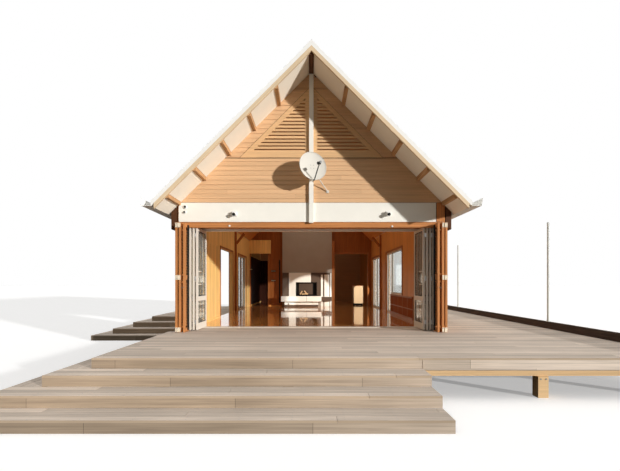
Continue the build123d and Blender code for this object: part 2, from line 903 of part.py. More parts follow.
def make_steps():
    """Three steps round the front deck and round the terrace: treads and risers."""
    flights = (
        (-deck_left, steps_right_end, -deck_front, 0),
        (-terrace_left, -house_half_width, terrace_front, side_decks_back),
    )
    with BuildPart() as front_treads:
        for left, right, front, back in flights:
            for step in range(1, step_count + 1):
                top = deck_level - step * riser_height
                y_range = (front - step * tread_run, front - (step - 1) * tread_run)
                block((left - step * tread_run, right), y_range, (top - board_thickness, top))
    keep(front_treads, "front_treads")

    with BuildPart() as side_treads:
        for left, right, front, back in flights:
            for step in range(1, step_count + 1):
                top = deck_level - step * riser_height
                x_range = (left - step * tread_run, left - (step - 1) * tread_run)
                block(x_range, (front - (step - 1) * tread_run, back), (top - board_thickness, top))
    keep(side_treads, "side_treads")

    with BuildPart() as front_risers:
        for left, right, front, back in flights:
            for step in range(1, step_count + 1):
                top = deck_level - step * riser_height - board_thickness
                y_start = front - step * tread_run
                bottom = deck_level - (step + 1) * riser_height
                x_range = (left - step * tread_run, right)
                block(x_range, (y_start, y_start + riser_thickness), (bottom, top))
    keep(front_risers, "front_risers")

    with BuildPart() as side_risers:
        for left, right, front, back in flights:
            for step in range(1, step_count + 1):
                top = deck_level - step * riser_height - board_thickness
                x_start = left - step * tread_run
                bottom = deck_level - (step + 1) * riser_height
                y_range = (front - step * tread_run + riser_thickness, back)
                block((x_start, x_start + riser_thickness), y_range, (bottom, top))
    keep(side_risers, "side_risers")


def make_deck_edge():
    """Upstand along the deck's right edge, with two slim poles on it."""
    curb_x = (deck_right - curb_width, deck_right)
    curb_top = deck_level + curb_height
    single_block("deck_curb", curb_x, (-deck_front, side_decks_back), (deck_level, curb_top))
    with BuildPart() as poles:
        with BuildSketch(Plane.XY.offset(curb_top)):
            for index in range(pole_count):
                with Locations((deck_right - curb_width / 2, first_pole_y + index * pole_spacing)):
                    Circle(pole_diameter / 2)
        extrude(amount=pole_height)
    keep(poles, "edge_poles")


def make_dish():
    """Shallow round dish on an arm off the centre post, and small lights."""
    radius = dish_diameter / 2
    turn = math.radians(dish_turn)
    tilt = math.radians(dish_tilt)
    hub = Vector(dish_x, dish_y, dish_level)
    level_part = math.cos(tilt)
    dish_axis = Vector(level_part * math.sin(turn), -level_part * math.cos(turn), math.sin(tilt))
    sideways = dish_axis.cross(Vector(0, 0, 1)).normalized()
    section_plane = Plane(origin=hub, x_dir=sideways, z_dir=sideways.cross(dish_axis))
    back = [(0, 0)]
    for index in range(dish_ring_count + 1):
        share = index / dish_ring_count
        back.append((dish_hub_radius + share * (radius - dish_hub_radius), dish_depth * share ** 2))
    front = [(out, along + dish_thickness) for out, along in reversed(back)]
    with BuildPart() as dish:
        with BuildSketch(section_plane) as section:
            Polygon(*back, *front, align=None)
        revolve(section.sketch, axis=Axis(hub, dish_axis))
    keep(dish, "dish")

    post_face = -cladding_thickness - centre_post_depth
    plate_front = post_face - dish_plate_thickness
    plate = dish_plate_size / 2
    arm_foot = Vector(0, plate_front, dish_level - plate)
    arm_run = hub + dish_axis * dish_arm_diameter - arm_foot
    with BuildPart() as dish_mount:
        with BuildSketch(Plane(origin=arm_foot, z_dir=arm_run)):
            Circle(dish_arm_diameter / 2)
        extrude(amount=arm_run.length)
        split(bisect_by=Plane(origin=hub, z_dir=dish_axis), keep=Keep.BOTTOM)
        block((-plate, plate), (plate_front, post_face), (dish_level - 3 * plate, dish_level + plate))
    keep(dish_mount, "dish_mount")

    beam_face = -cladding_thickness
    half = spotlight_size / 2
    light_y = (beam_face - spotlight_size, beam_face)
    light_z = (spotlight_level - half, spotlight_level + half)
    with BuildPart() as lights:
        for side in (-1, 1):
            x_middle = side * spotlight_x
            block((x_middle - half, x_middle + half), light_y, light_z)
    keep(lights, "beam_lights")


os.makedirs("parts", exist_ok=True)
make_base()
make_corner_posts()
make_side_wall(-1, "left", left_openings, [])
make_side_wall(1, "right", right_openings, [(right_openings[0][0], window_joint)])
make_back_wall()
make_front_head()
make_gable_wall("front_gable_wall", (0, wall_thickness))
make_gable_wall("back_gable_wall", (back_wall_front, house_length))
make_gable_vents("front_gable_vents", -cladding_thickness, -1)
make_gable_vents("back_gable_vents", house_length + cladding_thickness, 1)
make_centre_posts()
make_roof()
make_barge_boards()
make_gable_soffits()
make_gutters()
make_pelmets()
make_door_leaves()
make_wall_door_frames()
make_glass()
make_shutters(-1, "left")
make_shutters(1, "right")
make_partition()
make_fireplace()
make_decks()
make_deck_frame()
make_steps()
make_deck_edge()
make_dish()
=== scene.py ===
"""Looks of the beach house: boards, linings, fittings, finishes, light and camera, in metres."""

import math
from functools import partial

import bmesh
import bpy
from bpy.props import FloatProperty, FloatVectorProperty, PointerProperty
from mathutils import Matrix, Vector


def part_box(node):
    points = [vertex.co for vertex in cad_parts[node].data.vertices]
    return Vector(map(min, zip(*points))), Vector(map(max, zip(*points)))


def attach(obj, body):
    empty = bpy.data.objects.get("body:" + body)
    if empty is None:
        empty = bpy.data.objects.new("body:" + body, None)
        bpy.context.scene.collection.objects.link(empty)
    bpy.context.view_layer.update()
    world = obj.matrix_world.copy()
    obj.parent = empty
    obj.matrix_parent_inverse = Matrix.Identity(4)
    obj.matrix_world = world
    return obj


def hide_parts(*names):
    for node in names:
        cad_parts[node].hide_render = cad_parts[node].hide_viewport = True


bl_info = {
    "name": "Beach house",
    "version": (1, 0, 0),
    "blender": (4, 5, 0),
    "location": "3D View > Sidebar > Beach house",
    "description": "Dresses the beach house with boards, fittings and finishes",
    "category": "Object",
}

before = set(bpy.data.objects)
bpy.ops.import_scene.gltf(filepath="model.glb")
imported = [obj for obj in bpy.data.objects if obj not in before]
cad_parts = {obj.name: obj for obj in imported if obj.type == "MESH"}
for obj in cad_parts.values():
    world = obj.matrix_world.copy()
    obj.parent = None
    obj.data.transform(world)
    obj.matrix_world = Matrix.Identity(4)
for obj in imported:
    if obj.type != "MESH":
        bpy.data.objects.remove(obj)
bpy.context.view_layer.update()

# Levels and places that several pieces share, read from the frame
deck_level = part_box("front_deck")[1].z
board_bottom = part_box("front_deck")[0].z
wall_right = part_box("right_wall")[1].x
lining_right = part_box("right_wall")[0].x
wall_front = 0.0
wall_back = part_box("back_wall")[1].y
wall_foot = 0.48
room_near, room_far = 0.86, wall_back - 0.11
hall_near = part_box("partition_panels")[1].y
beam_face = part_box("front_beam")[0].y
beam_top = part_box("front_beam")[1].z
post_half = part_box("centre_posts")[1].x
under_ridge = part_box("front_gable_wall")[1].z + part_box("ridge_beam")[1].x
soffit_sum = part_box("gable_soffits")[0].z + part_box("gable_soffits")[1].x
ridge_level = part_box("roof_left")[1].z
door_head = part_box("left_wall")[1].z
vent_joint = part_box("front_gable_vents")[0].z
vent_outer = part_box("front_gable_vents")[1].x
steps_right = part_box("front_treads")[1].x
board_lap = 0.008
board_depth = (0.02, 0.008)
step_rise = deck_level / 4
step_run = 0.43
left_doors = ((3.6, 5.6), (6.7, 8.6))
right_doors = ((3.52, 6.1), (7.5, 9.4))
window_joint = 5.3
window_sill = 1.31
back_door_half = 1.0
root2 = math.sqrt(2)
DECKS = ("front_deck", "right_deck", "terrace_deck", "porch_deck")

# Turns that lay a panel's face outwards: local X runs along the boards, Y across them, Z out of the face
TURNS = {
    "front": (90, 0, 0),
    "back": (90, 0, 180),
    "right": (90, 0, 90),
    "left": (90, 0, -90),
    "up": (0, 0, 0),
    "up_along": (0, 0, 90),
    "roof_right": (0, 45, 0),
    "roof_left": (0, 45, 180),
    "under_right": (180, 45, 0),
    "under_left": (180, 45, 180),
    "upright_front": (0, -90, 90),
    "upright_left": (0, -90, 0),
    "upright_right": (0, -90, 180),
}


def to_linear(code):
    """An sRGB hex colour as linear red, green and blue."""
    values = [int(code[i : i + 2], 16) / 255 for i in (1, 3, 5)]
    return tuple(v / 12.92 if v <= 0.04045 else ((v + 0.055) / 1.055) ** 2.4 for v in values)


def add_node(tree, kind, inputs=(), **settings):
    """Add a node with its settings, and set or link its inputs.

    They come in order, or by name or number, and a node among them gives its first output.
    """
    node = tree.nodes.new(kind)
    for name, value in settings.items():
        setattr(node, name, value)
    for key, value in inputs.items() if isinstance(inputs, dict) else enumerate(inputs):
        if isinstance(value, bpy.types.Node):
            value = value.outputs[0]
        if isinstance(value, bpy.types.NodeSocket):
            tree.links.new(value, node.inputs[key])
        else:
            node.inputs[key].default_value = value
    return node


# Finishes


def new_finish(name, roughness, metallic=0.0):
    """An empty material with a surface shader, ready for its pattern: its tree and its shader."""
    material = bpy.data.materials.new(name)
    material.use_nodes = True
    tree = material.node_tree
    tree.nodes.clear()
    # Matt and sawn surfaces shine less than varnish, glass and steel
    shine = 0.5 if roughness < 0.3 or metallic else 0.15
    surface = {"Roughness": roughness, "Metallic": metallic, "Specular IOR Level": shine}
    shader = add_node(tree, "ShaderNodeBsdfPrincipled", surface)
    add_node(tree, "ShaderNodeOutputMaterial", {"Surface": shader})
    return tree, shader


def set_skin(tree, shader, colour, height, strength, distance):
    """Give a shader its colour, and the relief of a pattern's height."""
    raised = add_node(tree, "ShaderNodeBump", {"Height": height, "Strength": strength, "Distance": distance})
    tree.links.new(colour.outputs[0], shader.inputs["Base Color"])
    tree.links.new(raised.outputs[0], shader.inputs["Normal"])


def butt_boards(node, place, along, colour):
    """Draw board ends every 2.6 m, a tone for each board, and paler boards towards the right."""
    length, stagger = 2.6, 0.37
    split = node("ShaderNodeSeparateXYZ", [place]).outputs
    step = node("ShaderNodeMath", [split[2], step_rise], operation="DIVIDE")
    row = node("ShaderNodeMath", [step], operation="FLOOR")
    shift = node("ShaderNodeMath", [row, stagger], operation="MULTIPLY")
    run = node("ShaderNodeMath", [split["XYZ".index(along)], 1 / length, shift], operation="MULTIPLY_ADD")
    number = node("ShaderNodeMath", [run], operation="FLOOR")
    board = node("ShaderNodeCombineXYZ", [number, row])
    chance = node("ShaderNodeTexWhiteNoise", [board], noise_dimensions="3D")
    spread = node("ShaderNodeMapRange", [chance, 0.0, 1.0, 0.82, 1.12])
    within = node("ShaderNodeMath", [run], operation="FRACT")
    gap = node("ShaderNodeMapRange", [within, 0.0016, 0.002, 0.3, 1.0])
    # Boards grow paler and greyer from left to right
    paler_rightwards = node("ShaderNodeMapRange", [split[0], -1.0, 3.2, 1.0, 1.7])
    greyer_rightwards = node("ShaderNodeMapRange", [split[0], -1.0, 3.2, 1.0, 0.7])
    jointed = node("ShaderNodeMath", [spread, gap], operation="MULTIPLY")
    whole = node("ShaderNodeMath", [jointed, paler_rightwards], operation="MULTIPLY")
    return node("ShaderNodeHueSaturation", {"Saturation": greyer_rightwards, "Value": whole, "Color": colour})


def make_timber(
    name, light, darken, along, streak=0.02, length=0.9, swing=0.1, roughness=0.6, relief=0.3,
    slope=False, edge=None, butted=False, coat=0.0,
):
    """Sawn timber: long streaks of grain, a tone for each board and slow patches of weather.

    Streaks are 15 to 50 mm wide, coarser than real grain, so that they show from the camera, and
    between them the colour falls to the share darken. edge is the colour of upright faces, slope
    turns the grain down both slopes of the roof, and butted draws the ends of boards.
    """
    tree, shader = new_finish(name, roughness)
    node = partial(add_node, tree)
    place = node("ShaderNodeTexCoord").outputs["Object"]
    if slope:
        x, y, z = node("ShaderNodeSeparateXYZ", [place]).outputs
        folded = node("ShaderNodeMath", [x], operation="ABSOLUTE")
        joined = node("ShaderNodeCombineXYZ", [folded, y, z])
        angle = math.radians(-45)
        place = node("ShaderNodeVectorRotate", {"Vector": joined, "Angle": angle}, rotation_type="Y_AXIS")
    scale = [1 / length if axis == along else 1 / streak for axis in "XYZ"]
    stretched = node("ShaderNodeMapping", {"Vector": place, "Scale": scale})
    grain = node("ShaderNodeTexNoise", {"Vector": stretched, "Scale": 1.0, "Detail": 5.0, "Roughness": 0.6})
    patches = node("ShaderNodeTexNoise", {"Vector": place, "Scale": 0.8, "Detail": 3.0})
    depth = node("ShaderNodeMapRange", [grain, 0.3, 0.7])
    dark = [darken * v for v in light]
    streaked = node("ShaderNodeMix", {0: depth, 6: (*dark, 1), 7: (*light, 1)}, data_type="RGBA")
    colour = streaked.outputs[2]
    if edge:
        normal = node("ShaderNodeNewGeometry").outputs["Normal"]
        lift = node("ShaderNodeSeparateXYZ", [normal]).outputs[2]
        upright = node("ShaderNodeMath", [lift, 0.5], operation="LESS_THAN")
        edged = node("ShaderNodeMix", {0: upright, 6: colour, 7: (*edge, 1)}, data_type="RGBA")
        colour = edged.outputs[2]
    if butted:
        colour = butt_boards(node, place, along, colour)
    tone = node("ShaderNodeAttribute", attribute_name="board_tone").outputs["Fac"]
    board = node("ShaderNodeMath", [tone, swing, 1.0], operation="MULTIPLY_ADD")
    slow = node("ShaderNodeMapRange", [patches, 0.3, 0.7, 1 - swing / 2, 1 + swing / 2])
    value = node("ShaderNodeMath", [board, slow], operation="MULTIPLY")
    shaded = node("ShaderNodeHueSaturation", {"Value": value, "Color": colour})
    set_skin(tree, shader, shaded, grain, relief, 0.002)
    if coat:
        shader.inputs["Coat Weight"].default_value = coat
        shader.inputs["Coat Roughness"].default_value = 0.04


def make_coated(name, colour, roughness=0.45, metallic=0.0, grit=0.004, marks=0.05, relief=0.15):
    """A coat of paint, powder or plaster: fine grit in the skin and faint slow marks.

    grit is its size in metres, coarser than real, and the marks are about 0.45 m wide.
    """
    tree, shader = new_finish(name, roughness, metallic)
    node = partial(add_node, tree)
    place = node("ShaderNodeTexCoord").outputs["Object"]
    fine = node("ShaderNodeTexNoise", {"Vector": place, "Scale": 1 / grit, "Detail": 2.0})
    slow = node("ShaderNodeTexNoise", {"Vector": place, "Scale": 2.2, "Detail": 5.0, "Roughness": 0.65})
    value = node("ShaderNodeMapRange", [slow, 0.3, 0.7, 1 - marks, 1.0])
    shaded = node("ShaderNodeHueSaturation", {"Value": value, "Color": (*colour, 1)})
    set_skin(tree, shader, shaded, fine, relief, 0.0005)


def make_blockwork(name, colour):
    """Concrete blocks 390 by 190 mm in 10 mm joints, with a sandy face."""
    tree, shader = new_finish(name, 0.9)
    node = partial(add_node, tree)
    place = node("ShaderNodeTexCoord").outputs["Object"]
    x, y, z = node("ShaderNodeSeparateXYZ", [place]).outputs
    along = node("ShaderNodeMath", [x, y], operation="ADD")
    flat = node("ShaderNodeCombineXYZ", [along, z])
    first, second, mortar = ((*[share * v for v in colour], 1) for share in (1.0, 0.9, 0.62))
    pattern = {"Vector": flat, "Color1": first, "Color2": second, "Mortar": mortar}
    pattern |= {"Scale": 1.0, "Mortar Size": 0.005, "Brick Width": 0.4, "Row Height": 0.2}
    blocks = node("ShaderNodeTexBrick", pattern)
    sand = node("ShaderNodeTexNoise", {"Vector": place, "Scale": 180.0, "Detail": 3.0})
    set_skin(tree, shader, blocks, sand, 0.4, 0.002)


def make_clear_glass(name, film):
    """Clear float glass with a thin film of salt: bright at a glance, see-through straight on."""
    tree, shader = new_finish(name, 0.08)
    node = partial(add_node, tree)
    output = tree.nodes["Material Output"]
    place = node("ShaderNodeTexCoord").outputs["Object"]
    salt = node("ShaderNodeTexNoise", {"Vector": place, "Scale": 3.0, "Detail": 4.0})
    cover = node("ShaderNodeMapRange", [salt, 0.3, 0.8, 0.03, 0.1])
    bend = node("ShaderNodeFresnel", {"IOR": 1.5})
    shine = node("ShaderNodeMath", [bend, 0.45], operation="MULTIPLY")
    clear = node("ShaderNodeBsdfTransparent", {"Color": (0.96, 0.98, 0.97, 1)})
    mirror = node("ShaderNodeBsdfGlossy", {"Color": (1, 1, 1, 1), "Roughness": 0.02})
    plain = node("ShaderNodeMixShader", [shine, clear, mirror])
    shader.inputs["Base Color"].default_value = (*film, 1)
    dusty = node("ShaderNodeMixShader", [cover, plain, shader])
    tree.links.new(dusty.outputs[0], output.inputs["Surface"])


def make_finishes(colours):
    """Every finish of the house, made once and found again by its name."""
    sawn = {"streak": 0.03, "length": 1.6, "swing": 0.05}
    oiled = {"swing": 0.14, "roughness": 0.5}
    silvered = {"streak": 0.03, "length": 1.2, "roughness": 0.85, "relief": 0.6}
    varnished = {"streak": 0.04, "roughness": 0.38}
    # Oiled cedar weatherboard, sawn: pinkish tan, each board its own tone
    make_timber("cedar_weatherboard", colours.weatherboard, 0.82, "X", **sawn)
    make_timber("side_weatherboard", colours.weatherboard, 0.82, "Y", **sawn)
    # Oiled cedar joinery timber: red-brown with dark grain along the post
    make_timber("cedar_upright", colours.cedar, 0.62, "Z", **oiled)
    make_timber("cedar_level", colours.cedar, 0.62, "X", **oiled)
    # Stained framing timber under the roof: straw outriggers, and a ridge beam darkened to nearly black to
    # paint the shade it lies in
    make_timber("stained_outrigger", colours.outrigger, 0.6, "Y")
    make_timber("ridge_timber_painted_shade", colours.ridge, 0.5, "Y")
    # Building paper behind the boards, dull and near black, so that it paints the shade in the gaps between
    # them
    make_coated("building_paper_and_painted_shade", colours.paper, roughness=0.9, marks=0.2)
    # Stained pine on the roof's edge: warm straw, grain down the slope
    make_timber("pale_pine_slope", colours.pale_pine, 0.8, "X", slope=True)
    make_timber("pale_pine_level", colours.pale_pine, 0.85, "Z")
    make_timber("pale_pine_louvre", colours.louvre, 0.78, "X", streak=0.015)
    # Hardwood decking left to silver: grey, dry and streaky, with darker boards here and there
    for name, along in (("silvered_decking", "X"), ("silvered_decking_side", "Y")):
        make_timber(name, colours.decking, 0.66, along, swing=0.16, edge=colours.riser, **silvered)
    make_timber("silvered_riser", colours.riser, 0.66, "X", swing=0.14, butted=True, **silvered)
    # The same on the sides of the decks, where the grain runs along the house
    make_timber("silvered_riser_side", colours.riser, 0.66, "Y", swing=0.14, **silvered)
    # Treated pine framing, rough sawn: yellow-green tinge under a dry face
    make_timber("sawn_treated_pine", colours.framing, 0.8, "X", roughness=0.85, relief=0.6)
    # Creosoted sleeper on the deck's edge: nearly black, cracked along its length
    make_timber("dark_sleeper", colours.sleeper, 0.45, "Y", streak=0.025, roughness=0.9, relief=0.9)
    # Varnished lining boards with a low sheen: one wood in two colours that paint light and shade, a lit pale
    # amber copy on the left and a shaded browner copy on the right
    make_timber("lining_painted_light", colours.lining, 0.72, "Z", **varnished)
    make_timber("brown_lining", colours.shaded_lining, 0.7, "Z", **varnished)
    # Varnished plywood of the partition: red-brown with broad figure
    make_timber("red_brown_panel", colours.partition, 0.66, "Z", streak=0.05, roughness=0.35)
    # Hall lining in near black, which paints the shade of the unlit hall, so that the doorway into it reads
    # dark
    make_timber("hall_boards_painted_shade", colours.hall, 0.6, "Z", streak=0.04, roughness=0.5)
    # Brown boards outside the side doors, darkened to paint their shade under the eaves: dark bands
    make_timber("pelmet_painted_shade", colours.pelmet, 0.66, "Y", streak=0.03)
    # Varnished architraves and posts: a shade darker than the boards they frame
    make_timber("varnished_trim", colours.trim, 0.7, "Z", roughness=0.35)
    # Worn varnish on the cupboards: red-brown with hardly any sheen
    make_timber("varnished_cupboard", colours.cupboard, 0.7, "Z", streak=0.03, swing=0.14, roughness=0.75)
    # Varnished hardwood floor: red-brown under a clear coat that mirrors the windows
    planed = {"streak": 0.03, "swing": 0.18, "roughness": 0.22, "relief": 0.05, "coat": 1.0}
    make_timber("varnished_floor", colours.floorboards, 0.6, "Y", **planed)
    # Acrylic paint on planed timber: soft white with brush marks
    make_coated("white_painted_timber", colours.white_paint, roughness=0.5, grit=0.006)
    # Coil-coated steel: smooth, cool white with a faint chalking
    make_coated("coated_steel_white", colours.roof_edge, roughness=0.4, grit=0.01, marks=0.04)
    make_coated("coated_steel_roof", colours.roofing, roughness=0.4, grit=0.01, marks=0.08)
    # Powder-coated aluminium joinery: fine orange peel
    make_coated("powder_coated_frame", colours.joinery, roughness=0.42, grit=0.003, marks=0.03)
    # Painted plaster: matt taupe with trowel marks
    make_coated("taupe_plaster", colours.plaster, roughness=0.9, grit=0.01, marks=0.08, relief=0.4)
    # Taupe paint on panels beside the fire, darker and smoother; most of these panels paint the shade round
    # the surround and the bench
    make_coated("taupe_panel_and_painted_shade", colours.panel, roughness=0.7, grit=0.006, marks=0.1)
    # Honed stone: pale, with clouds that hardly show
    make_coated("honed_stone_surround", colours.surround, marks=0.06)
    # Cast iron firebox: dull black with soot
    make_coated("soot_black_iron", colours.iron, roughness=0.75, grit=0.003, marks=0.2, relief=0.5)
    # Pressed steel dish, powder-coated: off-white, chalky
    make_coated("powder_coated_dish", colours.dish, roughness=0.5, grit=0.003, marks=0.06)
    # Hot-dipped steel: dull grey with pale blotches
    make_coated("galvanised_bracket", colours.galvanised, roughness=0.5, metallic=0.6, marks=0.25)
    # Enamel paint on steel tube: pale and even
    make_coated("painted_pole", colours.pole, roughness=0.4, marks=0.03)
    # Moulded plastic of the lamp bodies: smooth satin white
    make_coated("moulded_lamp_body", colours.lamp, roughness=0.35, marks=0.02)
    # Black rubber: a dull line round each pane and in each joint
    make_coated("black_rubber_seal", colours.rubber, roughness=0.7, marks=0.1)
    # Folded steel strip over a board joint: dark brown, smooth
    make_coated("dark_flashing", colours.flashing, roughness=0.5, marks=0.1)
    # Moulded black plastic of the feed head and the lenses: satin
    make_coated("dark_plastic", colours.plastic, roughness=0.3)
    # Enamelled hinge plates: cream, slightly chipped
    make_coated("cream_enamel", colours.enamel, roughness=0.4, grit=0.003, marks=0.12)
    # Brushed stainless steel of hinges and screws: bright, but not a mirror
    make_coated("brushed_steel", colours.steel, roughness=0.35, metallic=1.0, grit=0.002, marks=0.1)
    # Painted fibre-cement sheet under the overhangs: cream, smooth
    make_coated("cream_soffit_sheet", colours.soffit, roughness=0.6)
    # Foundation of grey blocks: dark joints and a sandy face
    make_blockwork("concrete_block", colours.foundation)
    # Panes that show the room behind a faint film
    make_clear_glass("clear_glass", colours.glass_film)


NODE_FINISHES = {
    "concrete_block": ("base_side_walls", "base_end_walls"),
    "cedar_upright": ("corner_posts", "left_shutters", "right_shutters"),
    "cedar_level": ("front_head_fascia", "porch_ceiling", "door_head_beam"),
    "ridge_timber_painted_shade": ("ridge_beam",),
    "cedar_weatherboard": ("back_wall", "back_wall_head"),
    "building_paper_and_painted_shade": ("front_gable_wall", "back_gable_wall"),
    "lining_painted_light": ("left_wall", "left_wall_head"),
    "brown_lining": ("right_wall", "right_wall_head"),
    "red_brown_panel": ("partition_panels", "partition_head"),
    "white_painted_timber": ("front_beam", "centre_posts", "door_track"),
    "pale_pine_louvre": ("front_gable_vents", "back_gable_vents"),
    "pale_pine_slope": ("barge_boards",),
    "pelmet_painted_shade": ("pelmets",),
    "stained_outrigger": ("outriggers",),
    "cream_soffit_sheet": ("gable_soffits",),
    "coated_steel_roof": ("roof_left", "roof_right"),
    "coated_steel_white": ("roof_edges", "ridge_cap", "gutters"),
    "powder_coated_frame": ("door_leaves", "door_sill", "wall_door_frames"),
    "clear_glass": ("glass_panes",),
    "taupe_plaster": ("chimney_breast",),
    "soot_black_iron": ("firebox",),
    "honed_stone_surround": ("fireplace_surround", "hearth_bench"),
    "silvered_decking": (*DECKS, "front_treads"),
    "silvered_decking_side": ("side_treads",),
    "silvered_riser": ("front_fascias", "front_risers"),
    "silvered_riser_side": ("side_fascias", "side_risers"),
    "sawn_treated_pine": ("deck_bearers", "deck_joists", "deck_posts"),
    "dark_sleeper": ("deck_curb",),
    "varnished_floor": ("floor",),
    "painted_pole": ("edge_poles",),
    "powder_coated_dish": ("dish",),
    "galvanised_bracket": ("dish_mount",),
    "moulded_lamp_body": ("beam_lights",),
}


def finish(name):
    """A finish by its name."""
    return bpy.data.materials[name]


# Geometry Nodes trees


def new_tree(name, **inputs):
    """A tree with a geometry output and, for each kind, its named inputs: the tree and their sockets."""
    tree = bpy.data.node_groups.new(name, "GeometryNodeTree")
    tree.interface.new_socket("Geometry", in_out="OUTPUT", socket_type="NodeSocketGeometry")
    for kind, sockets in inputs.items():
        for socket in sockets:
            tree.interface.new_socket(socket, in_out="INPUT", socket_type="NodeSocket" + kind)
    return tree, add_node(tree, "NodeGroupInput").outputs


def place_in_rows(node, columns):
    """The row and the column of each point, counted along the rows."""
    index = node("GeometryNodeInputIndex")
    share = node("ShaderNodeMath", [index, columns], operation="DIVIDE")
    nudged = node("ShaderNodeMath", [share, 0.0001], operation="ADD")
    row = node("ShaderNodeMath", [nudged], operation="FLOOR")
    passed = node("ShaderNodeMath", [row, columns], operation="MULTIPLY")
    return row, node("ShaderNodeMath", [index, passed], operation="SUBTRACT")


def make_board_tree():
    """Rows of boards with staggered joints, cut to a panel whose two ends may slope."""
    lengths = ("Pitch", "Cover", "First row", "Board length", "Joint", "Stagger", "Low", "High")
    ends = ("Left at low", "Left at high", "Right at low", "Right at high")
    depths = ("Low edge depth", "High edge depth")
    counts = ("Rows", "Boards in a row")
    tree, size = new_tree(
        "board_rows", Int=counts, Float=lengths + ends + depths, Vector=("Place", "Turn"), Material=("Finish",)
    )
    node = partial(add_node, tree)
    length = size["Board length"]
    left_ends = [size["Left at low"], size["Left at high"]]
    right_ends = [size["Right at low"], size["Right at high"]]

    count = node("ShaderNodeMath", [size["Rows"], size["Boards in a row"]], operation="MULTIPLY")
    row, column = place_in_rows(node, size["Boards in a row"])
    shifted = node("ShaderNodeMath", [row, size["Stagger"]], operation="MULTIPLY")
    shift = node("ShaderNodeMath", [shifted], operation="FRACT")
    turn_in = node("ShaderNodeMath", [column, shift], operation="SUBTRACT")
    half_in = node("ShaderNodeMath", [turn_in, 0.5], operation="ADD")
    leftmost = node("ShaderNodeMath", left_ends, operation="MINIMUM")
    centre = node("ShaderNodeMath", [half_in, length, leftmost], operation="MULTIPLY_ADD")
    edge = node("ShaderNodeMath", [row, size["Pitch"], size["First row"]], operation="MULTIPLY_ADD")
    level = node("ShaderNodeMath", [size["Cover"], 0.5, edge], operation="MULTIPLY_ADD")
    spot = node("ShaderNodeCombineXYZ", [centre, level])
    points = node("GeometryNodePoints", {"Count": count, "Position": spot})

    # A board whose share of the panel is shorter than 20 mm is left out
    left = node("ShaderNodeMapRange", [level, size["Low"], size["High"], *left_ends])
    right = node("ShaderNodeMapRange", [level, size["Low"], size["High"], *right_ends])
    half_back = node("ShaderNodeMath", [length, -0.5, centre], operation="MULTIPLY_ADD")
    half_on = node("ShaderNodeMath", [length, 0.5, centre], operation="MULTIPLY_ADD")
    start = node("ShaderNodeMath", [half_back, left], operation="MAXIMUM")
    end = node("ShaderNodeMath", [half_on, right], operation="MINIMUM")
    remainder = node("ShaderNodeMath", [end, start], operation="SUBTRACT")
    short = node("FunctionNodeCompare", [remainder, 0.02], operation="LESS_THAN")
    kept = node("GeometryNodeDeleteGeometry", {"Geometry": points, "Selection": short}, domain="POINT")

    board = node("GeometryNodeMeshCube", {"Size": (1, 1, 1)})
    x, y, z = node("ShaderNodeSeparateXYZ", [node("GeometryNodeInputPosition")]).outputs
    rise = node("ShaderNodeMath", [y, 0.5], operation="ADD")
    rise_settings = {"Geometry": board, "Name": "rise", "Value": rise}
    marked = node("GeometryNodeStoreNamedAttribute", rise_settings, data_type="FLOAT", domain="POINT")
    jointed = node("ShaderNodeMath", [length, size["Joint"]], operation="SUBTRACT")
    scale = node("ShaderNodeCombineXYZ", [jointed, size["Cover"], 1.0])
    laid = node("GeometryNodeInstanceOnPoints", {"Points": kept, "Instance": marked, "Scale": scale})
    chance = node("FunctionNodeRandomValue", {2: -1.0, 3: 1.0, "Seed": 7}, data_type="FLOAT").outputs[1]
    tone_settings = {"Geometry": laid, "Name": "board_tone", "Value": chance}
    toned = node("GeometryNodeStoreNamedAttribute", tone_settings, data_type="FLOAT", domain="INSTANCE")
    real = node("GeometryNodeRealizeInstances", [toned])

    # Each corner is brought inside the panel and set to the board's depth at its low or high edge
    across = node("ShaderNodeClamp", {"Value": y, "Min": size["Low"], "Max": size["High"]})
    left = node("ShaderNodeMapRange", [across, size["Low"], size["High"], *left_ends])
    right = node("ShaderNodeMapRange", [across, size["Low"], size["High"], *right_ends])
    along = node("ShaderNodeClamp", {"Value": x, "Min": left, "Max": right})
    named = node("GeometryNodeInputNamedAttribute", {"Name": "rise"}, data_type="FLOAT")
    depth = node("ShaderNodeMapRange", [named, 0.0, 1.0, size["Low edge depth"], size["High edge depth"]])
    lifted = node("ShaderNodeMath", [z, 0.5], operation="ADD")
    proud = node("ShaderNodeMath", [lifted, depth], operation="MULTIPLY")
    corner = node("ShaderNodeCombineXYZ", [along, across, proud])
    cut = node("GeometryNodeSetPosition", {"Geometry": real, "Position": corner})
    plain = node("GeometryNodeRemoveAttribute", {"Geometry": cut, "Name": "rise"})
    turned = {"Geometry": plain, "Translation": size["Place"], "Rotation": size["Turn"]}
    set_up = node("GeometryNodeTransform", turned)
    finished = node("GeometryNodeSetMaterial", {"Geometry": set_up, "Material": size["Finish"]})
    node("NodeGroupOutput", [finished])


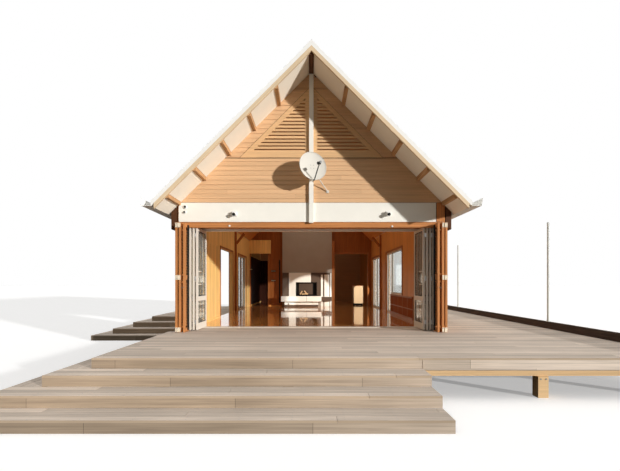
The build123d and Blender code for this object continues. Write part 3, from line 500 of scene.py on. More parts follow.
def make_fitting_tree():
    """Copies of one fitting in columns and rows at even steps."""
    steps = ("Start", "Column step", "Row step")
    tree, size = new_tree(
        "fitting_rows", Object=("Fitting",), Int=("Columns", "Rows"), Vector=steps, Material=("Finish",)
    )
    node = partial(add_node, tree)
    count = node("ShaderNodeMath", [size["Rows"], size["Columns"]], operation="MULTIPLY")
    row, column = place_in_rows(node, size["Columns"])
    over = node("ShaderNodeVectorMath", {0: size["Column step"], "Scale": column}, operation="SCALE")
    up = node("ShaderNodeVectorMath", {0: size["Row step"], "Scale": row}, operation="SCALE")
    moved = node("ShaderNodeVectorMath", [over, up], operation="ADD")
    spot = node("ShaderNodeVectorMath", [moved, size["Start"]], operation="ADD")
    points = node("GeometryNodePoints", {"Count": count, "Position": spot})
    source = node("GeometryNodeObjectInfo", {"Object": size["Fitting"], "As Instance": True})
    laid = node("GeometryNodeInstanceOnPoints", {"Points": points, "Instance": source.outputs["Geometry"]})
    real = node("GeometryNodeRealizeInstances", [laid])
    finished = node("GeometryNodeSetMaterial", {"Geometry": real, "Material": size["Finish"]})
    node("NodeGroupOutput", [finished])


def grown_mesh(name, material, settings):
    """Evaluate a tree with the given settings and return what it makes as a plain mesh."""
    tree = bpy.data.node_groups[name]
    carrier = bpy.data.objects.new("carrier", bpy.data.meshes.new("carrier"))
    bpy.context.scene.collection.objects.link(carrier)
    modifier = carrier.modifiers.new("Rows", "NODES")
    modifier.node_group = tree
    settings["Finish"] = finish(material)
    for item in tree.interface.items_tree:
        if item.item_type == "SOCKET" and item.in_out == "INPUT":
            modifier[item.identifier] = settings[item.name]
    carrier.update_tag()
    graph = bpy.context.evaluated_depsgraph_get()
    mesh = bpy.data.meshes.new_from_object(carrier.evaluated_get(graph))
    bpy.data.objects.remove(carrier)
    return mesh


def pair(value):
    """Two values, from one that stands for both."""
    return value if isinstance(value, (list, tuple)) else (value, value)


def boards(
    turn, place, low_high, left, right, pitch, material,
    cover=None, first=None, length=3.6, depth=0.02, joint=0.002, stagger=0.37,
):
    """One panel of boards. left, right and depth may differ at its low and at its high edge."""
    (low, high), left, right, depth = low_high, pair(left), pair(right), pair(depth)
    first = low if first is None else first
    reach = max(right) - min(left)
    settings = {
        "Rows": math.ceil((high - first) / pitch - 0.001),
        "Pitch": pitch,
        "Cover": cover or pitch,
        "First row": first,
        "Boards in a row": math.ceil(reach / length) + 1 if stagger else max(1, round(reach / length)),
        "Board length": length,
        "Joint": joint,
        "Stagger": float(stagger),
        "Low": low,
        "High": high,
        "Left at low": left[0],
        "Left at high": left[1],
        "Right at low": right[0],
        "Right at high": right[1],
        "Low edge depth": depth[0],
        "High edge depth": depth[1],
        "Place": place,
        "Turn": [math.radians(angle) for angle in TURNS[turn]],
    }
    return grown_mesh("board_rows", material, settings)


def fittings(shape, material, start, columns, column_step, rows=1, row_step=(0, 0, 0)):
    """Copies of a small shape in columns and rows."""
    pattern = bpy.data.meshes.new("fitting")
    shape.to_mesh(pattern)
    shape.free()
    holder = bpy.data.objects.new("fitting", pattern)
    bpy.context.scene.collection.objects.link(holder)
    settings = {"Fitting": holder, "Start": start, "Columns": columns, "Rows": rows}
    settings |= {"Column step": column_step, "Row step": row_step}
    mesh = grown_mesh("fitting_rows", material, settings)
    bpy.data.objects.remove(holder)
    return mesh


# Hand-made shapes


def add_bar(shape, start, end, edge=0.002):
    """A squared bar between two opposite corners with its edges taken off."""
    low, high = Vector(map(min, start, end)), Vector(map(max, start, end))
    size = high - low
    place = Matrix.Translation((low + high) / 2) @ Matrix.Diagonal((*size, 1))
    made = bmesh.ops.create_cube(shape, size=1, matrix=place)
    edges = {e for v in made["verts"] for e in v.link_edges}
    if edge:
        offset = min(edge, min(size) / 3)
        bmesh.ops.bevel(shape, geom=list(edges), offset=offset, segments=1, affect="EDGES")


def add_rod(shape, start, end, radius, sides=12, end_radius=None):
    """A round rod or cone between two points."""
    start, end = Vector(start), Vector(end)
    run = end - start
    turn = Vector((0, 0, 1)).rotation_difference(run).to_matrix().to_4x4()
    bmesh.ops.create_cone(
        shape,
        cap_ends=True,
        segments=sides,
        radius1=radius,
        radius2=radius if end_radius is None else end_radius,
        depth=run.length,
        matrix=Matrix.Translation((start + end) / 2) @ turn,
    )


def add_ring(shape, centre, axis, radius, thickness, sides=48, section=8):
    """A round bead that closes on itself."""
    turn = Vector((0, 0, 1)).rotation_difference(Vector(axis)).to_matrix()
    loops = []
    for i in range(sides):
        a = 2 * math.pi * i / sides
        out = Vector((math.cos(a), math.sin(a), 0))
        loop = []
        for j in range(section):
            b = 2 * math.pi * j / section
            point = out * (radius + thickness * math.cos(b)) + Vector((0, 0, thickness * math.sin(b)))
            loop.append(shape.verts.new(Vector(centre) + turn @ point))
        loops.append(loop)
    for here, there in zip(loops, loops[1:] + loops[:1]):
        for j in range(section):
            k = (j + 1) % section
            shape.faces.new((here[j], there[j], there[k], here[k]))


def add_slab(shape, outline, near, far):
    """A flat slab across the house: its outline in X and Z, its thickness from near to far."""
    front, back = ([shape.verts.new((x, y, z)) for x, z in outline] for y in (near, far))
    faces = [shape.faces.new(front), shape.faces.new(back)]
    for index in range(len(outline)):
        after = (index + 1) % len(outline)
        faces.append(shape.faces.new((front[index], front[after], back[after], back[index])))
    bmesh.ops.recalc_face_normals(shape, faces=faces)


def add_sloping_strip(shape, total, depth, inner, outer, near, far):
    """A strip down both slopes: X plus Z is total at its top, and its plumb depth is depth."""
    for side in (-1, 1):
        corners = ((inner, 0), (outer, 0), (outer, depth), (inner, depth))
        add_slab(shape, [(side * x, total - down - x) for x, down in corners], near, far)


def as_part(shape, material, smooth=False):
    """A finished shape as a mesh with its finish."""
    mesh = bpy.data.meshes.new("part")
    shape.to_mesh(mesh)
    shape.free()
    mesh.materials.append(finish(material))
    if smooth:
        mesh.shade_smooth()
    return mesh


def bars(material, corners, edge=0.002):
    """Squared bars, each between two opposite corners, as one mesh."""
    shape = bmesh.new()
    for start, end in corners:
        add_bar(shape, start, end, edge)
    return as_part(shape, material)


def mirrored(start, end):
    """The corners of a bar to the left and of its twin to the right of the centre line."""
    return [((side * start[0], *start[1:]), (side * end[0], *end[1:])) for side in (-1, 1)]


def solids(node):
    """The opposite corners of each separate solid of a CAD node, from left to right."""
    shape = bmesh.new()
    shape.from_mesh(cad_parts[node].data)
    bmesh.ops.remove_doubles(shape, verts=shape.verts, dist=0.0001)
    left, boxes = set(shape.verts), []
    while left:
        found = [left.pop()]
        for vertex in found:
            for edge in vertex.link_edges:
                other = edge.other_vert(vertex)
                if other in left:
                    left.remove(other)
                    found.append(other)
        axes = list(zip(*(vertex.co for vertex in found)))
        boxes.append((Vector(map(min, axes)), Vector(map(max, axes))))
    shape.free()
    return sorted(boxes, key=lambda box: tuple(box[0]))


def add_piece(name, meshes, replaced=()):
    """Join meshes into one piece that rides on the house and may stand for CAD nodes."""
    parts = [bpy.data.objects.new(name, mesh) for mesh in meshes if len(mesh.polygons)]
    for part in parts:
        bpy.context.scene.collection.objects.link(part)
    piece = parts[0]
    if len(parts) > 1:
        chosen = {"active_object": piece, "object": piece}
        with bpy.context.temp_override(**chosen, selected_objects=parts, selected_editable_objects=parts):
            bpy.ops.object.join()
    piece.name = name
    piece.data.name = name
    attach(piece, "root")
    if replaced:
        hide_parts(*replaced)
    return piece


# Boards and sheets


def gable_boards(turn, face, pitch):
    """Weatherboards of one gable, cut to the vents, the post and the soffit."""
    gap = 0.006
    inner = post_half + 0.002
    vent_sum = vent_outer + vent_joint + gap
    apex = vent_sum - inner
    fields = (
        (beam_top, vent_joint - gap, None),
        (vent_joint + gap, apex, vent_sum),
        (apex, soffit_sum - inner, None),
    )
    parts = []
    for low, high, inner_sum in fields:
        near_post = [inner_sum - level if inner_sum else inner for level in (low, high)]
        at_soffit = [soffit_sum - level for level in (low, high)]
        for left, right in ((near_post, at_soffit), ([-v for v in at_soffit], [-v for v in near_post])):
            panel = turn, (0, face, 0), ((low, high), left, right), pitch, "cedar_weatherboard"
            parts.append(lapped_boards(*panel, bottom=beam_top, length=4.2))
    return parts


def lapped_boards(turn, place, ends, pitch, material, bottom=wall_foot + board_lap, length=4.8):
    """Weatherboards whose lowest one starts a lap below the bottom."""
    lap = {"cover": pitch + board_lap, "first": bottom - board_lap, "depth": board_depth}
    return boards(turn, place, *ends, pitch, material, length=length, **lap)


def stretches(start, end, doors):
    """The runs of wall left between doors, from start to end."""
    cuts = [start] + [v for door in doors for v in door] + [end]
    return list(zip(cuts[::2], cuts[1::2]))


def number_property(name, description, default, **settings):
    """A number that a user may change."""
    return FloatProperty(name=name, description=description, default=default, **settings)


# Lengths are in metres, and a strength or a share doesn't fall below nothing
length_property = partial(number_property, subtype="DISTANCE", unit="LENGTH")
strength_property = partial(number_property, min=0.0)


def colour_property(name, description, code):
    """A colour that a user may change, from its sRGB code."""
    limits = {"default": to_linear(code), "size": 3, "min": 0.0, "max": 1.0}
    return FloatVectorProperty(name=name, description=description, subtype="COLOR", **limits)


class BeachHouseSizes(bpy.types.PropertyGroup):
    """Sizes that a user would change."""

    weatherboard_pitch: length_property("Weatherboard pitch", "Height of a weatherboard that shows", 0.1065)
    deck_board: length_property("Deck board pitch", "Width of a deck board with its gap", 0.1435)
    deck_gap: length_property("Deck gap", "Gap between two deck boards", 0.005)
    deck_board_length: length_property("Deck board length", "Longest deck board", 4.8)
    floor_board: length_property("Floorboard pitch", "Width of an inside floorboard", 0.13)
    lining_board: length_property("Lining board", "Width of a wall lining board", 0.15)
    ceiling_sheet: length_property("Ceiling sheet", "Width of a ceiling sheet", 1.2)
    rib_pitch: length_property("Roof rib pitch", "Distance between two ribs of the roof sheet", 0.19)
    rib_height: length_property("Roof rib height", "Height of a rib above the sheet", 0.012)


class BeachHouseColours(bpy.types.PropertyGroup):
    """Colours of the finishes."""

    weatherboard: colour_property("Weatherboards", "Oiled cedar boards", "#E3B88C")
    cedar: colour_property("Cedar", "Posts, shutters and head timber", "#D08B53")
    pale_pine: colour_property("Pale pine", "Barge boards", "#EBD0AA")
    outrigger: colour_property("Outriggers", "Roof timber, stained a warm straw", "#D9A877")
    # The ridge colour is darkened to paint the shade under the roof
    ridge: colour_property("Ridge beam", "Dark-stained timber", "#6E4C36")
    # The building paper colour is near black, to paint the shade in the gaps between the boards
    paper: colour_property("Building paper", "Black sheet behind the boards", "#1E1A17")
    louvre: colour_property("Vent louvres", "Slats of the gable vents", "#E8BC8A")
    decking: colour_property("Decking", "Silvered deck boards", "#E2D3C3")
    riser: colour_property("Risers", "Step risers and deck fascias", "#B49F87")
    framing: colour_property("Deck framing", "Treated pine", "#EEC795")
    sleeper: colour_property("Curb", "Dark sleeper on the deck edge", "#54443A")
    # The left lining colour is the wood painted lit, and the right lining colour is the same wood painted in
    # shade
    lining: colour_property("Lining", "Varnished lining boards on the left", "#FFD082")
    trim: colour_property("Trims", "Varnished architraves and posts", "#A9683A")
    shaded_lining: colour_property("Right lining", "Lining boards on the right", "#DC944E")
    partition: colour_property("Partition", "Red-brown panels of the partition", "#9C5A2C")
    # The hall colour paints the shade of the unlit hall
    hall: colour_property("Hall lining", "Dark-stained boards in the hall behind the partition", "#3E1D12")
    # The pelmet colour is darkened to paint the shade under the eaves
    pelmet: colour_property("Pelmets", "Brown-stained boards outside the side doors", "#5C3A24")
    cupboard: colour_property("Cupboards", "Red-brown cupboard panels", "#9A5228")
    floorboards: colour_property("Floorboards", "Varnished floor", "#F0A65C")
    white_paint: colour_property("White paint", "Beam and centre posts", "#F6F2E6")
    roof_edge: colour_property("Roof edge", "Coated steel trims and gutters", "#F7F4ED")
    roofing: colour_property("Roofing", "Coated steel sheet", "#DCDCD8")
    joinery: colour_property("Joinery", "Powder-coated frames", "#E4DACB")
    plaster: colour_property("Plaster", "Chimney breast", "#A2968A")
    # The dark panel colour mostly paints the shade round the fireplace
    panel: colour_property("Dark panel", "Taupe panels at the fireplace", "#5B4C42")
    surround: colour_property("Surround", "Fireplace stone", "#EAE8E1")
    iron: colour_property("Iron", "Firebox", "#1E1C1B")
    dish: colour_property("Dish", "Powder-coated dish", "#D6D0C4")
    galvanised: colour_property("Galvanised steel", "Brackets", "#8F9290")
    pole: colour_property("Poles", "Painted poles", "#DADAD2")
    lamp: colour_property("Lamp body", "Moulded plastic", "#ECEAE4")
    rubber: colour_property("Seals", "Black rubber", "#1A1A1A")
    enamel: colour_property("Hinge plates", "Cream enamel", "#F0E0C6")
    flashing: colour_property("Flashings", "Dark brown steel strip", "#5A4030")
    plastic: colour_property("Black plastic", "Feed head and lenses", "#22221F")
    steel: colour_property("Steel", "Handles and screws", "#B9B9B7")
    soffit: colour_property("Soffit", "Cream sheets under the overhang", "#FBF1DF")
    foundation: colour_property("Foundation", "Concrete blocks", "#9D9A94")
    glass_film: colour_property("Glass film", "Salt on the glass", "#C9CFCE")


class BeachHouseStage(bpy.types.PropertyGroup):
    """Light and floor of the studio."""

    key_strength: strength_property("Key light", "Strength of the key light", 3.9)
    horizon_strength: strength_property("Horizon", "Soft light from low down", 0.02)
    overhead_strength: strength_property("Overhead", "Soft light from straight above", 1.5)
    room_strength: strength_property("Room light", "Power of the big room's soft light, in watts", 70.0)
    floor_bounce: strength_property("Floor bounce", "Share of light that the floor throws back", 0.08, max=1.0)
    floor_lift: strength_property("Floor lift", "How much lighter the floor shows to the camera", 0.3)
    floor_colour: colour_property("Floor", "Pale studio floor", "#F2F1EF")


class BEACHHOUSE_OT_finishes(bpy.types.Operator):
    """Make every finish and give it to the CAD nodes"""

    bl_idname = "beachhouse.finishes"
    bl_label = "Finishes"

    def execute(self, context):
        make_finishes(context.scene.beach_house_colours)
        for name, nodes in NODE_FINISHES.items():
            for node in nodes:
                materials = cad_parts[node].data.materials
                materials.clear()
                materials.append(finish(name))
        make_board_tree()
        make_fitting_tree()
        return {"FINISHED"}


class BEACHHOUSE_OT_weatherboards(bpy.types.Operator):
    """Lapped boards on both gables and on the walls"""

    bl_idname = "beachhouse.weatherboards"
    bl_label = "Weatherboards"

    def execute(self, context):
        pitch = context.scene.beach_house_sizes.weatherboard_pitch
        add_piece("front_gable_boards", gable_boards("front", wall_front, pitch))
        rear = gable_boards("back", wall_back, pitch)
        half, corner = back_door_half, wall_right + 0.02
        fields = ((wall_foot, -corner, -half), (wall_foot, half, corner), (door_head, -half, half))
        for bottom, left, right in fields:
            ends = (bottom, beam_top - 0.008), left, right
            rear.append(lapped_boards("back", (0, wall_back, 0), ends, pitch, "cedar_weatherboard"))
        add_piece("back_wall_boards", rear)
        start, wall_top = 0.02, under_ridge - wall_right
        walls = (("left", -1, left_doors, wall_foot), ("right", 1, right_doors, deck_level))
        for turn, side, doors, foot in walls:
            place = (side * wall_right, 0, 0)
            fields = [(near, far, foot, door_head) for near, far in stretches(start, wall_back, doors)]
            if side > 0:
                fields.append((doors[0][0], window_joint, foot, window_sill))
            fields.append((start, wall_back, door_head, wall_top))
            parts = []
            for near, far, low, high in fields:
                ends = (low, high), *((near, far) if side > 0 else (-far, -near))
                parts.append(lapped_boards(turn, place, ends, pitch, "side_weatherboard"))
            add_piece(turn + "_wall_boards", parts)
        return {"FINISHED"}


class BEACHHOUSE_OT_decking(bpy.types.Operator):
    """Deck and tread boards with gaps between them"""

    bl_idname = "beachhouse.decking"
    bl_label = "Decking"

    def execute(self, context):
        sizes = context.scene.beach_house_sizes

        def spread(turn, x_range, y_range, bottom, top, material="silvered_decking"):
            """Boards that fill a rectangle, along X or along Y."""
            across, along = (y_range, x_range) if turn == "up" else ((-x_range[1], -x_range[0]), y_range)
            width = across[1] - across[0]
            pitch = width / max(1, round(width / sizes.deck_board))
            lay = {"cover": pitch - sizes.deck_gap, "length": sizes.deck_board_length, "joint": 0.004}
            return boards(turn, (0, 0, bottom), across, *along, pitch, material, depth=top - bottom, **lay)

        for node in DECKS:
            low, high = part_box(node)
            part = spread("up", (low.x, high.x), (low.y, high.y), low.z, high.z)
            add_piece(node + "_boards", [part], (node,))
        front, side = [], []
        thickness = deck_level - board_bottom
        deck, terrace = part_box("front_deck")[0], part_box("terrace_deck")
        flights = (
            (deck.x, steps_right, deck.y, 0.0),
            (terrace[0].x, -wall_right, terrace[0].y, terrace[1].y),
        )
        for left, right, near, far in flights:
            for step in (1, 2, 3):
                top = deck_level - step * step_rise
                out, back = step * step_run, (step - 1) * step_run
                levels = top - thickness, top
                front.append(spread("up", (left - out, right), (near - out, near - back), *levels))
                field = (left - out, left - back), (near - back, far)
                side.append(spread("up_along", *field, *levels, "silvered_decking_side"))
        face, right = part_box("front_fascias")[0].y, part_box("front_fascias")[1].x
        board = ((steps_right, face - 0.006, 0.432), (right, face, 0.583))
        add_piece("deck_face_board", [bars("silvered_riser", [board])])
        add_piece("front_tread_boards", front, ("front_treads",))
        add_piece("side_tread_boards", side, ("side_treads",))
        return {"FINISHED"}


class BEACHHOUSE_OT_roofing(bpy.types.Operator):
    """Ribs of the roof sheets and the cream sheets under the overhangs"""

    bl_idname = "beachhouse.roofing"
    bl_label = "Roofing"

    def execute(self, context):
        sizes = context.scene.beach_house_sizes
        low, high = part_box("roof_left")
        eave, cap = -low.x * root2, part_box("ridge_cap")[1].x * root2
        ribs = []
        for turn, near, far in (("roof_right", low.y, high.y), ("roof_left", -high.y, -low.y)):
            pitch = (far - near) / round((far - near) / sizes.rib_pitch)
            rib = {"cover": 0.03, "first": near + (pitch - 0.03) / 2, "depth": sizes.rib_height}
            rib |= {"length": eave, "stagger": 0}
            slope = (near, far), cap, eave, pitch, "coated_steel_roof"
            ribs.append(boards(turn, (0, 0, ridge_level), *slope, **rib))
        add_piece("roof_ribs", ribs)

        # The outriggers of the front right slope cut its soffit into runs
        timbers = [(a.x, b.x) for a, b in solids("outriggers") if a.x > 0 and a.y < 0]
        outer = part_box("barge_boards")[1].x
        edges = [post_half, *(x for timber in timbers for x in timber), outer]
        soffit_near, soffit_far = (corner.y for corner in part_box("gable_soffits"))
        sheet = {"length": 3.0, "depth": 0.008, "stagger": 0}
        sheets = []
        for turn, side in (("under_right", -1), ("under_left", 1)):
            for near, far in ((soffit_near, -board_depth[0]), (wall_back + board_depth[0], soffit_far)):
                across = (near, far) if side > 0 else (-far, -near)
                for start, end in zip(edges[::2], edges[1::2]):
                    field = across, start * root2, end * root2, far - near
                    sheets.append(boards(turn, (0, 0, soffit_sum), *field, "cream_soffit_sheet", **sheet))
        ends = []
        for near, far in ((soffit_near, 0), (wall_back, soffit_far)):
            ends += mirrored((outer - 0.01, near, soffit_sum - outer), (outer, far, under_ridge - outer))
        add_piece("soffit_sheets", sheets + [bars("pale_pine_slope", ends)])
        return {"FINISHED"}


class BEACHHOUSE_OT_linings(bpy.types.Operator):
    """Lining sheets, ceiling boards and floorboards inside"""

    bl_idname = "beachhouse.linings"
    bl_label = "Linings"

    def execute(self, context):
        sizes = context.scene.beach_house_sizes
        wall_top = under_ridge - lining_right - 0.026

        def upright(turn, place, across, low, high, material):
            """Upright boards on one inside face, between two places across it."""
            width = sizes.lining_board
            lay = {"cover": width - 0.003, "length": 2.4, "depth": 0.01, "stagger": 0}
            return boards(turn, place, across, low, high, width, material, **lay)

        def side_lining(side, near, far, low, high, material):
            """Upright boards inside one side wall, from near to far."""
            turn, across = ("upright_right", (-far, -near)) if side < 0 else ("upright_left", (near, far))
            return upright(turn, (side * lining_right, 0, 0), across, low, high, material)

        parts = []
        # The left wall takes the lit copy of the lining; the right wall, its window and the ceiling take the
        # shaded copy
        for side, doors, end, material in (
            (-1, left_doors, hall_near, "lining_painted_light"),
            (1, right_doors, room_far, "brown_lining"),
        ):
            for near, far in stretches(room_near, end, doors):
                parts.append(side_lining(side, near, far, deck_level, door_head, material))
            parts.append(side_lining(side, room_near, end, door_head, wall_top, material))
        window = (right_doors[0][0], window_joint, deck_level, window_sill)
        add_piece("wall_lining", parts + [side_lining(1, *window, "brown_lining")])

        # Near-black boards, painted shade of the unlit hall, line the hall behind the partition, on its side
        # and at its end
        levels = (deck_level, wall_top, "hall_boards_painted_shade")
        dark = [side_lining(-1, hall_near, room_far, *levels)]
        dark.append(upright("upright_front", (0, room_far, 0), (back_door_half, lining_right), *levels))
        add_piece("hall_lining", dark)

        width = sizes.ceiling_sheet
        lay = {"cover": width - 0.008, "length": 2.4, "depth": 0.01, "joint": 0.008, "stagger": 0}
        slope = (0.075, (lining_right - 0.01) * root2, width, "brown_lining")
        runs = (("under_right", (-room_far, -room_near)), ("under_left", (room_near, room_far)))
        ceiling = [boards(turn, (0, 0, under_ridge), across, *slope, **lay) for turn, across in runs]
        add_piece("ceiling_lining", ceiling)

        low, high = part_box("floor")
        width, half = sizes.floor_board, lining_right - 0.01
        lay = {"cover": width - 0.0012, "length": 3.0, "depth": 0.003}
        floor = ((0, 0, high.z), (-half, half), low.y, room_far, width)
        add_piece("floorboards", [boards("up_along", *floor, "varnished_floor", **lay)])
        return {"FINISHED"}


class BEACHHOUSE_OT_trims(bpy.types.Operator):
    """Corner boards, architraves round the side and back doors, and the gable flashings"""

    bl_idname = "beachhouse.trims"
    bl_label = "Trims"

    def execute(self, context):
        proud, width, corner_top = 0.032, 0.07, 3.5
        corners = []
        for side in (-1, 1):
            face, out = side * wall_right, side * (wall_right + proud)
            foot = deck_level if side > 0 else wall_foot
            corners.append(((face, 0.0, foot), (out, 0.1, corner_top)))
            corners.append(((face, wall_back - 0.1, wall_foot), (out, wall_back, corner_top)))
            turned = (face - side * width, wall_back + proud, corner_top)
            corners.append(((out, wall_back, wall_foot), turned))
        add_piece("corner_boards", [bars("cedar_upright", corners)])

        outside, inside = [], []
        for side, doors in ((-1, left_doors), (1, right_doors)):
            outer, inner = side * wall_right, side * (lining_right - 0.01)
            faces = ((outside, outer, proud, width), (inside, inner, -0.018, 0.06))
            for near, far in doors:
                window = side > 0 and near == doors[0][0]
                foot = window_sill if window else deck_level
                for trims, face, out, wide in faces:
                    out = face + side * out
                    trims.append(((face, near - wide, foot), (out, near, door_head)))
                    trims.append(((face, far, deck_level), (out, far + wide, door_head)))
                    trims.append(((face, near - wide, door_head), (out, far + wide, door_head + wide)))
                if window:
                    sill = (outer + side * 0.05, window_joint, window_sill)
                    outside.append(((outer, near - width, window_sill - 0.035), sill))
        half, back = back_door_half, wall_back + proud
        outside += mirrored((half, wall_back, deck_level), (half + width, back, door_head))
        outside.append(((-half - width, wall_back, door_head), (half + width, back, door_head + width)))
        add_piece("outside_architraves", [bars("white_painted_timber", outside)])
        add_piece("inside_architraves", [bars("varnished_trim", inside)])

        # A dark strip between the shutters and the folded leaves, which paints the shade in the gap there
        dark = mirrored((2.799, -0.13, 0.64), (2.802, -0.004, 3.03))
        # A board that covers the beam's right end, with its joint
        dark.append(((2.85, beam_face - 0.004, 3.112), (2.862, beam_face, 3.54)))
        cover = ((2.862, beam_face - 0.007, 3.109), (3.029, beam_face, 3.543))
        parts = [bars("black_rubber_seal", dark, edge=0), bars("cedar_upright", [cover])]
        add_piece("front_reveals", parts)

        # Folded strips across each gable and down the slopes of its vents, and a drip over the beam
        reach = soffit_sum - vent_joint - 0.02
        strips = []
        for face, out in ((wall_front, -0.026), (wall_back, 0.026)):
            strip_low = (post_half, face, vent_joint - 0.005)
            strips += mirrored(strip_low, (reach, face + out, vent_joint + 0.003))
        drip = (post_half + 0.036, beam_face - 0.006, beam_top - 0.001)
        strips += mirrored(drip, (wall_right - 0.03, 0.0, beam_top + 0.003))
        slopes = bmesh.new()
        vent_sum = vent_outer + vent_joint
        for near, far in ((-0.0265, -0.018), (wall_back + 0.018, wall_back + 0.0265)):
            add_sloping_strip(slopes, vent_sum + 0.007, 0.007, post_half, vent_outer, near, far)
        parts = [bars("dark_flashing", strips, edge=0.0008), as_part(slopes, "dark_flashing")]
        add_piece("gable_flashings", parts)
        return {"FINISHED"}


class BEACHHOUSE_OT_vents(bpy.types.Operator):
    """Wide faces on the slats of the gable vents, with a thin gap between two slats"""

    bl_idname = "beachhouse.vents"
    bl_label = "Vent slats"

    def execute(self, context):
        stile, rail, pitch, face = 0.087, 0.13, 0.0808, 0.057
        bottom = vent_joint + rail
        inner = post_half + stile - 0.004
        slope_sum = vent_outer + vent_joint - 0.1 * root2 + 0.004
        top = slope_sum - inner
        rows = {"cover": face, "first": bottom - 0.008, "depth": (0.012, 0.004)}
        rows |= {"stagger": 0, "joint": 0.0, "length": 1.6}
        low, high = slope_sum - bottom, slope_sum - top
        for turn, place in (("front", wall_front - 0.01), ("back", wall_back + 0.01)):
            parts = []
            for left, right in ((inner, (low, high)), ((-low, -high), -inner)):
                field = (0, place, 0), (bottom, top), left, right, pitch
                parts.append(boards(turn, *field, "pale_pine_louvre", **rows))
            add_piece(turn + "_vent_slats", parts)
        return {"FINISHED"}


class BEACHHOUSE_OT_joinery(bpy.types.Operator):
    """Seals round every pane, and the hinges, handles and rollers of the folded glass leaves"""

    bl_idname = "beachhouse.joinery"
    bl_label = "Joinery"

    def execute(self, context):
        self.add_seals()
        leaves = solids("door_leaves")
        self.add_hinges(leaves)
        self.add_handles(leaves)
        return {"FINISHED"}

    def add_seals(self):
        """A bead of rubber on each side of every pane's four edges."""
        seals = []
        bead, proud = 0.009, 0.005
        for low, high in solids("glass_panes"):
            thin = min((0, 1), key=lambda axis: high[axis] - low[axis])
            wide = 1 - thin

            def corner(depth, across, level):
                """A point given by its place through, across and up the pane."""
                point = Vector((0, 0, level))
                point[thin], point[wide] = depth, across
                return point

            for face, out in ((low[thin], -proud), (high[thin], proud)):
                for start, end in ((low.z, low.z + bead), (high.z - bead, high.z)):
                    seals.append((corner(face, low[wide], start), corner(face + out, high[wide], end)))
                for start, end in ((low[wide], low[wide] + bead), (high[wide] - bead, high[wide])):
                    upright_low = corner(face, start, low.z + bead)
                    seals.append((upright_low, corner(face + out, end, high.z - bead)))
        add_piece("glazing_seals", [bars("black_rubber_seal", seals, edge=0)])

    def add_hinges(self, leaves):
        """Three hinges between each two leaves, and a roller and a pin for each leaf."""
        shape = bmesh.new()
        plates = []
        half_thick, half_tall = 0.0015, 0.048
        for index, ((low, high), (next_low, _)) in enumerate(zip(leaves, leaves[1:])):
            # The two stacks stand on either side of the doorway
            if next_low.x - high.x > 0.2:
                continue
            middle = (high.x + next_low.x) / 2
            y = low.y + 0.012 if index % 2 else high.y - 0.012
            for level in (low.z + 0.18, (low.z + high.z) / 2, high.z - 0.18):
                add_rod(shape, (middle, y, level - 0.05), (middle, y, level + 0.05), 0.008)
                for step in (-0.017, 0.017):
                    knuckle = level + step
                    add_rod(shape, (middle, y, knuckle - 0.001), (middle, y, knuckle + 0.001), 0.0088)
                plate_low = (high.x, y - half_thick, level - half_tall)
                plates.append((plate_low, (next_low.x, y + half_thick, level + half_tall)))
        # Each leaf hangs from a roller in the track and stands on a pin in the sill
        for low, high in leaves:
            x, y = (low.x + high.x) / 2, high.y - 0.045
            wheel = high.z + 0.018
            add_rod(shape, (x, y, high.z - 0.02), (x, y, high.z + 0.03), 0.006, sides=10)
            add_rod(shape, (x - 0.014, y, wheel), (x + 0.014, y, wheel), 0.015, sides=16)
            add_rod(shape, (x, y, low.z - 0.005), (x, y, low.z + 0.01), 0.005, sides=10)
        parts = [as_part(shape, "brushed_steel"), bars("brushed_steel", plates, edge=0)]
        add_piece("leaf_hinges", parts)

    def add_handles(self, leaves):
        """Lever handles on the innermost leaf of each stack and on the far side doors."""
        inner_left = max((leaf for leaf in leaves if leaf[0].x < 0), key=lambda leaf: leaf[1].x)
        inner_right = min((leaf for leaf in leaves if leaf[0].x > 0), key=lambda leaf: leaf[0].x)
        y = inner_left[0].y + 0.035
        shape = bmesh.new()
        for face, out in ((inner_left[1].x, 1), (inner_right[0].x, -1)):
            plate, grip, end = (face + out * reach for reach in (0.006, 0.04, 0.045))
            for level in (1.98, 1.68):
                add_bar(shape, (face, y - 0.018, level - 0.07), (plate, y + 0.018, level + 0.07))
                add_rod(shape, (face, y, level), (end, y, level), 0.01)
                add_rod(shape, (grip, y - 0.008, level), (grip, y + 0.12, level), 0.01)
        for side, (near, far) in ((-1, left_doors[1]), (1, right_doors[1])):
            x, y, level = side * (lining_right + 0.02), near + (far - near) / 2 - 0.03, 1.7
            plate, grip, end = (x - side * reach for reach in (0.006, 0.04, 0.045))
            add_bar(shape, (x, y - 0.015, 1.58), (plate, y + 0.015, 1.78))
            add_rod(shape, (x, y, level), (end, y, level), 0.009)
            add_rod(shape, (grip, y, level), (grip, y - 0.12, level), 0.008)
        add_piece("lever_handles", [as_part(shape, "powder_coated_frame")])


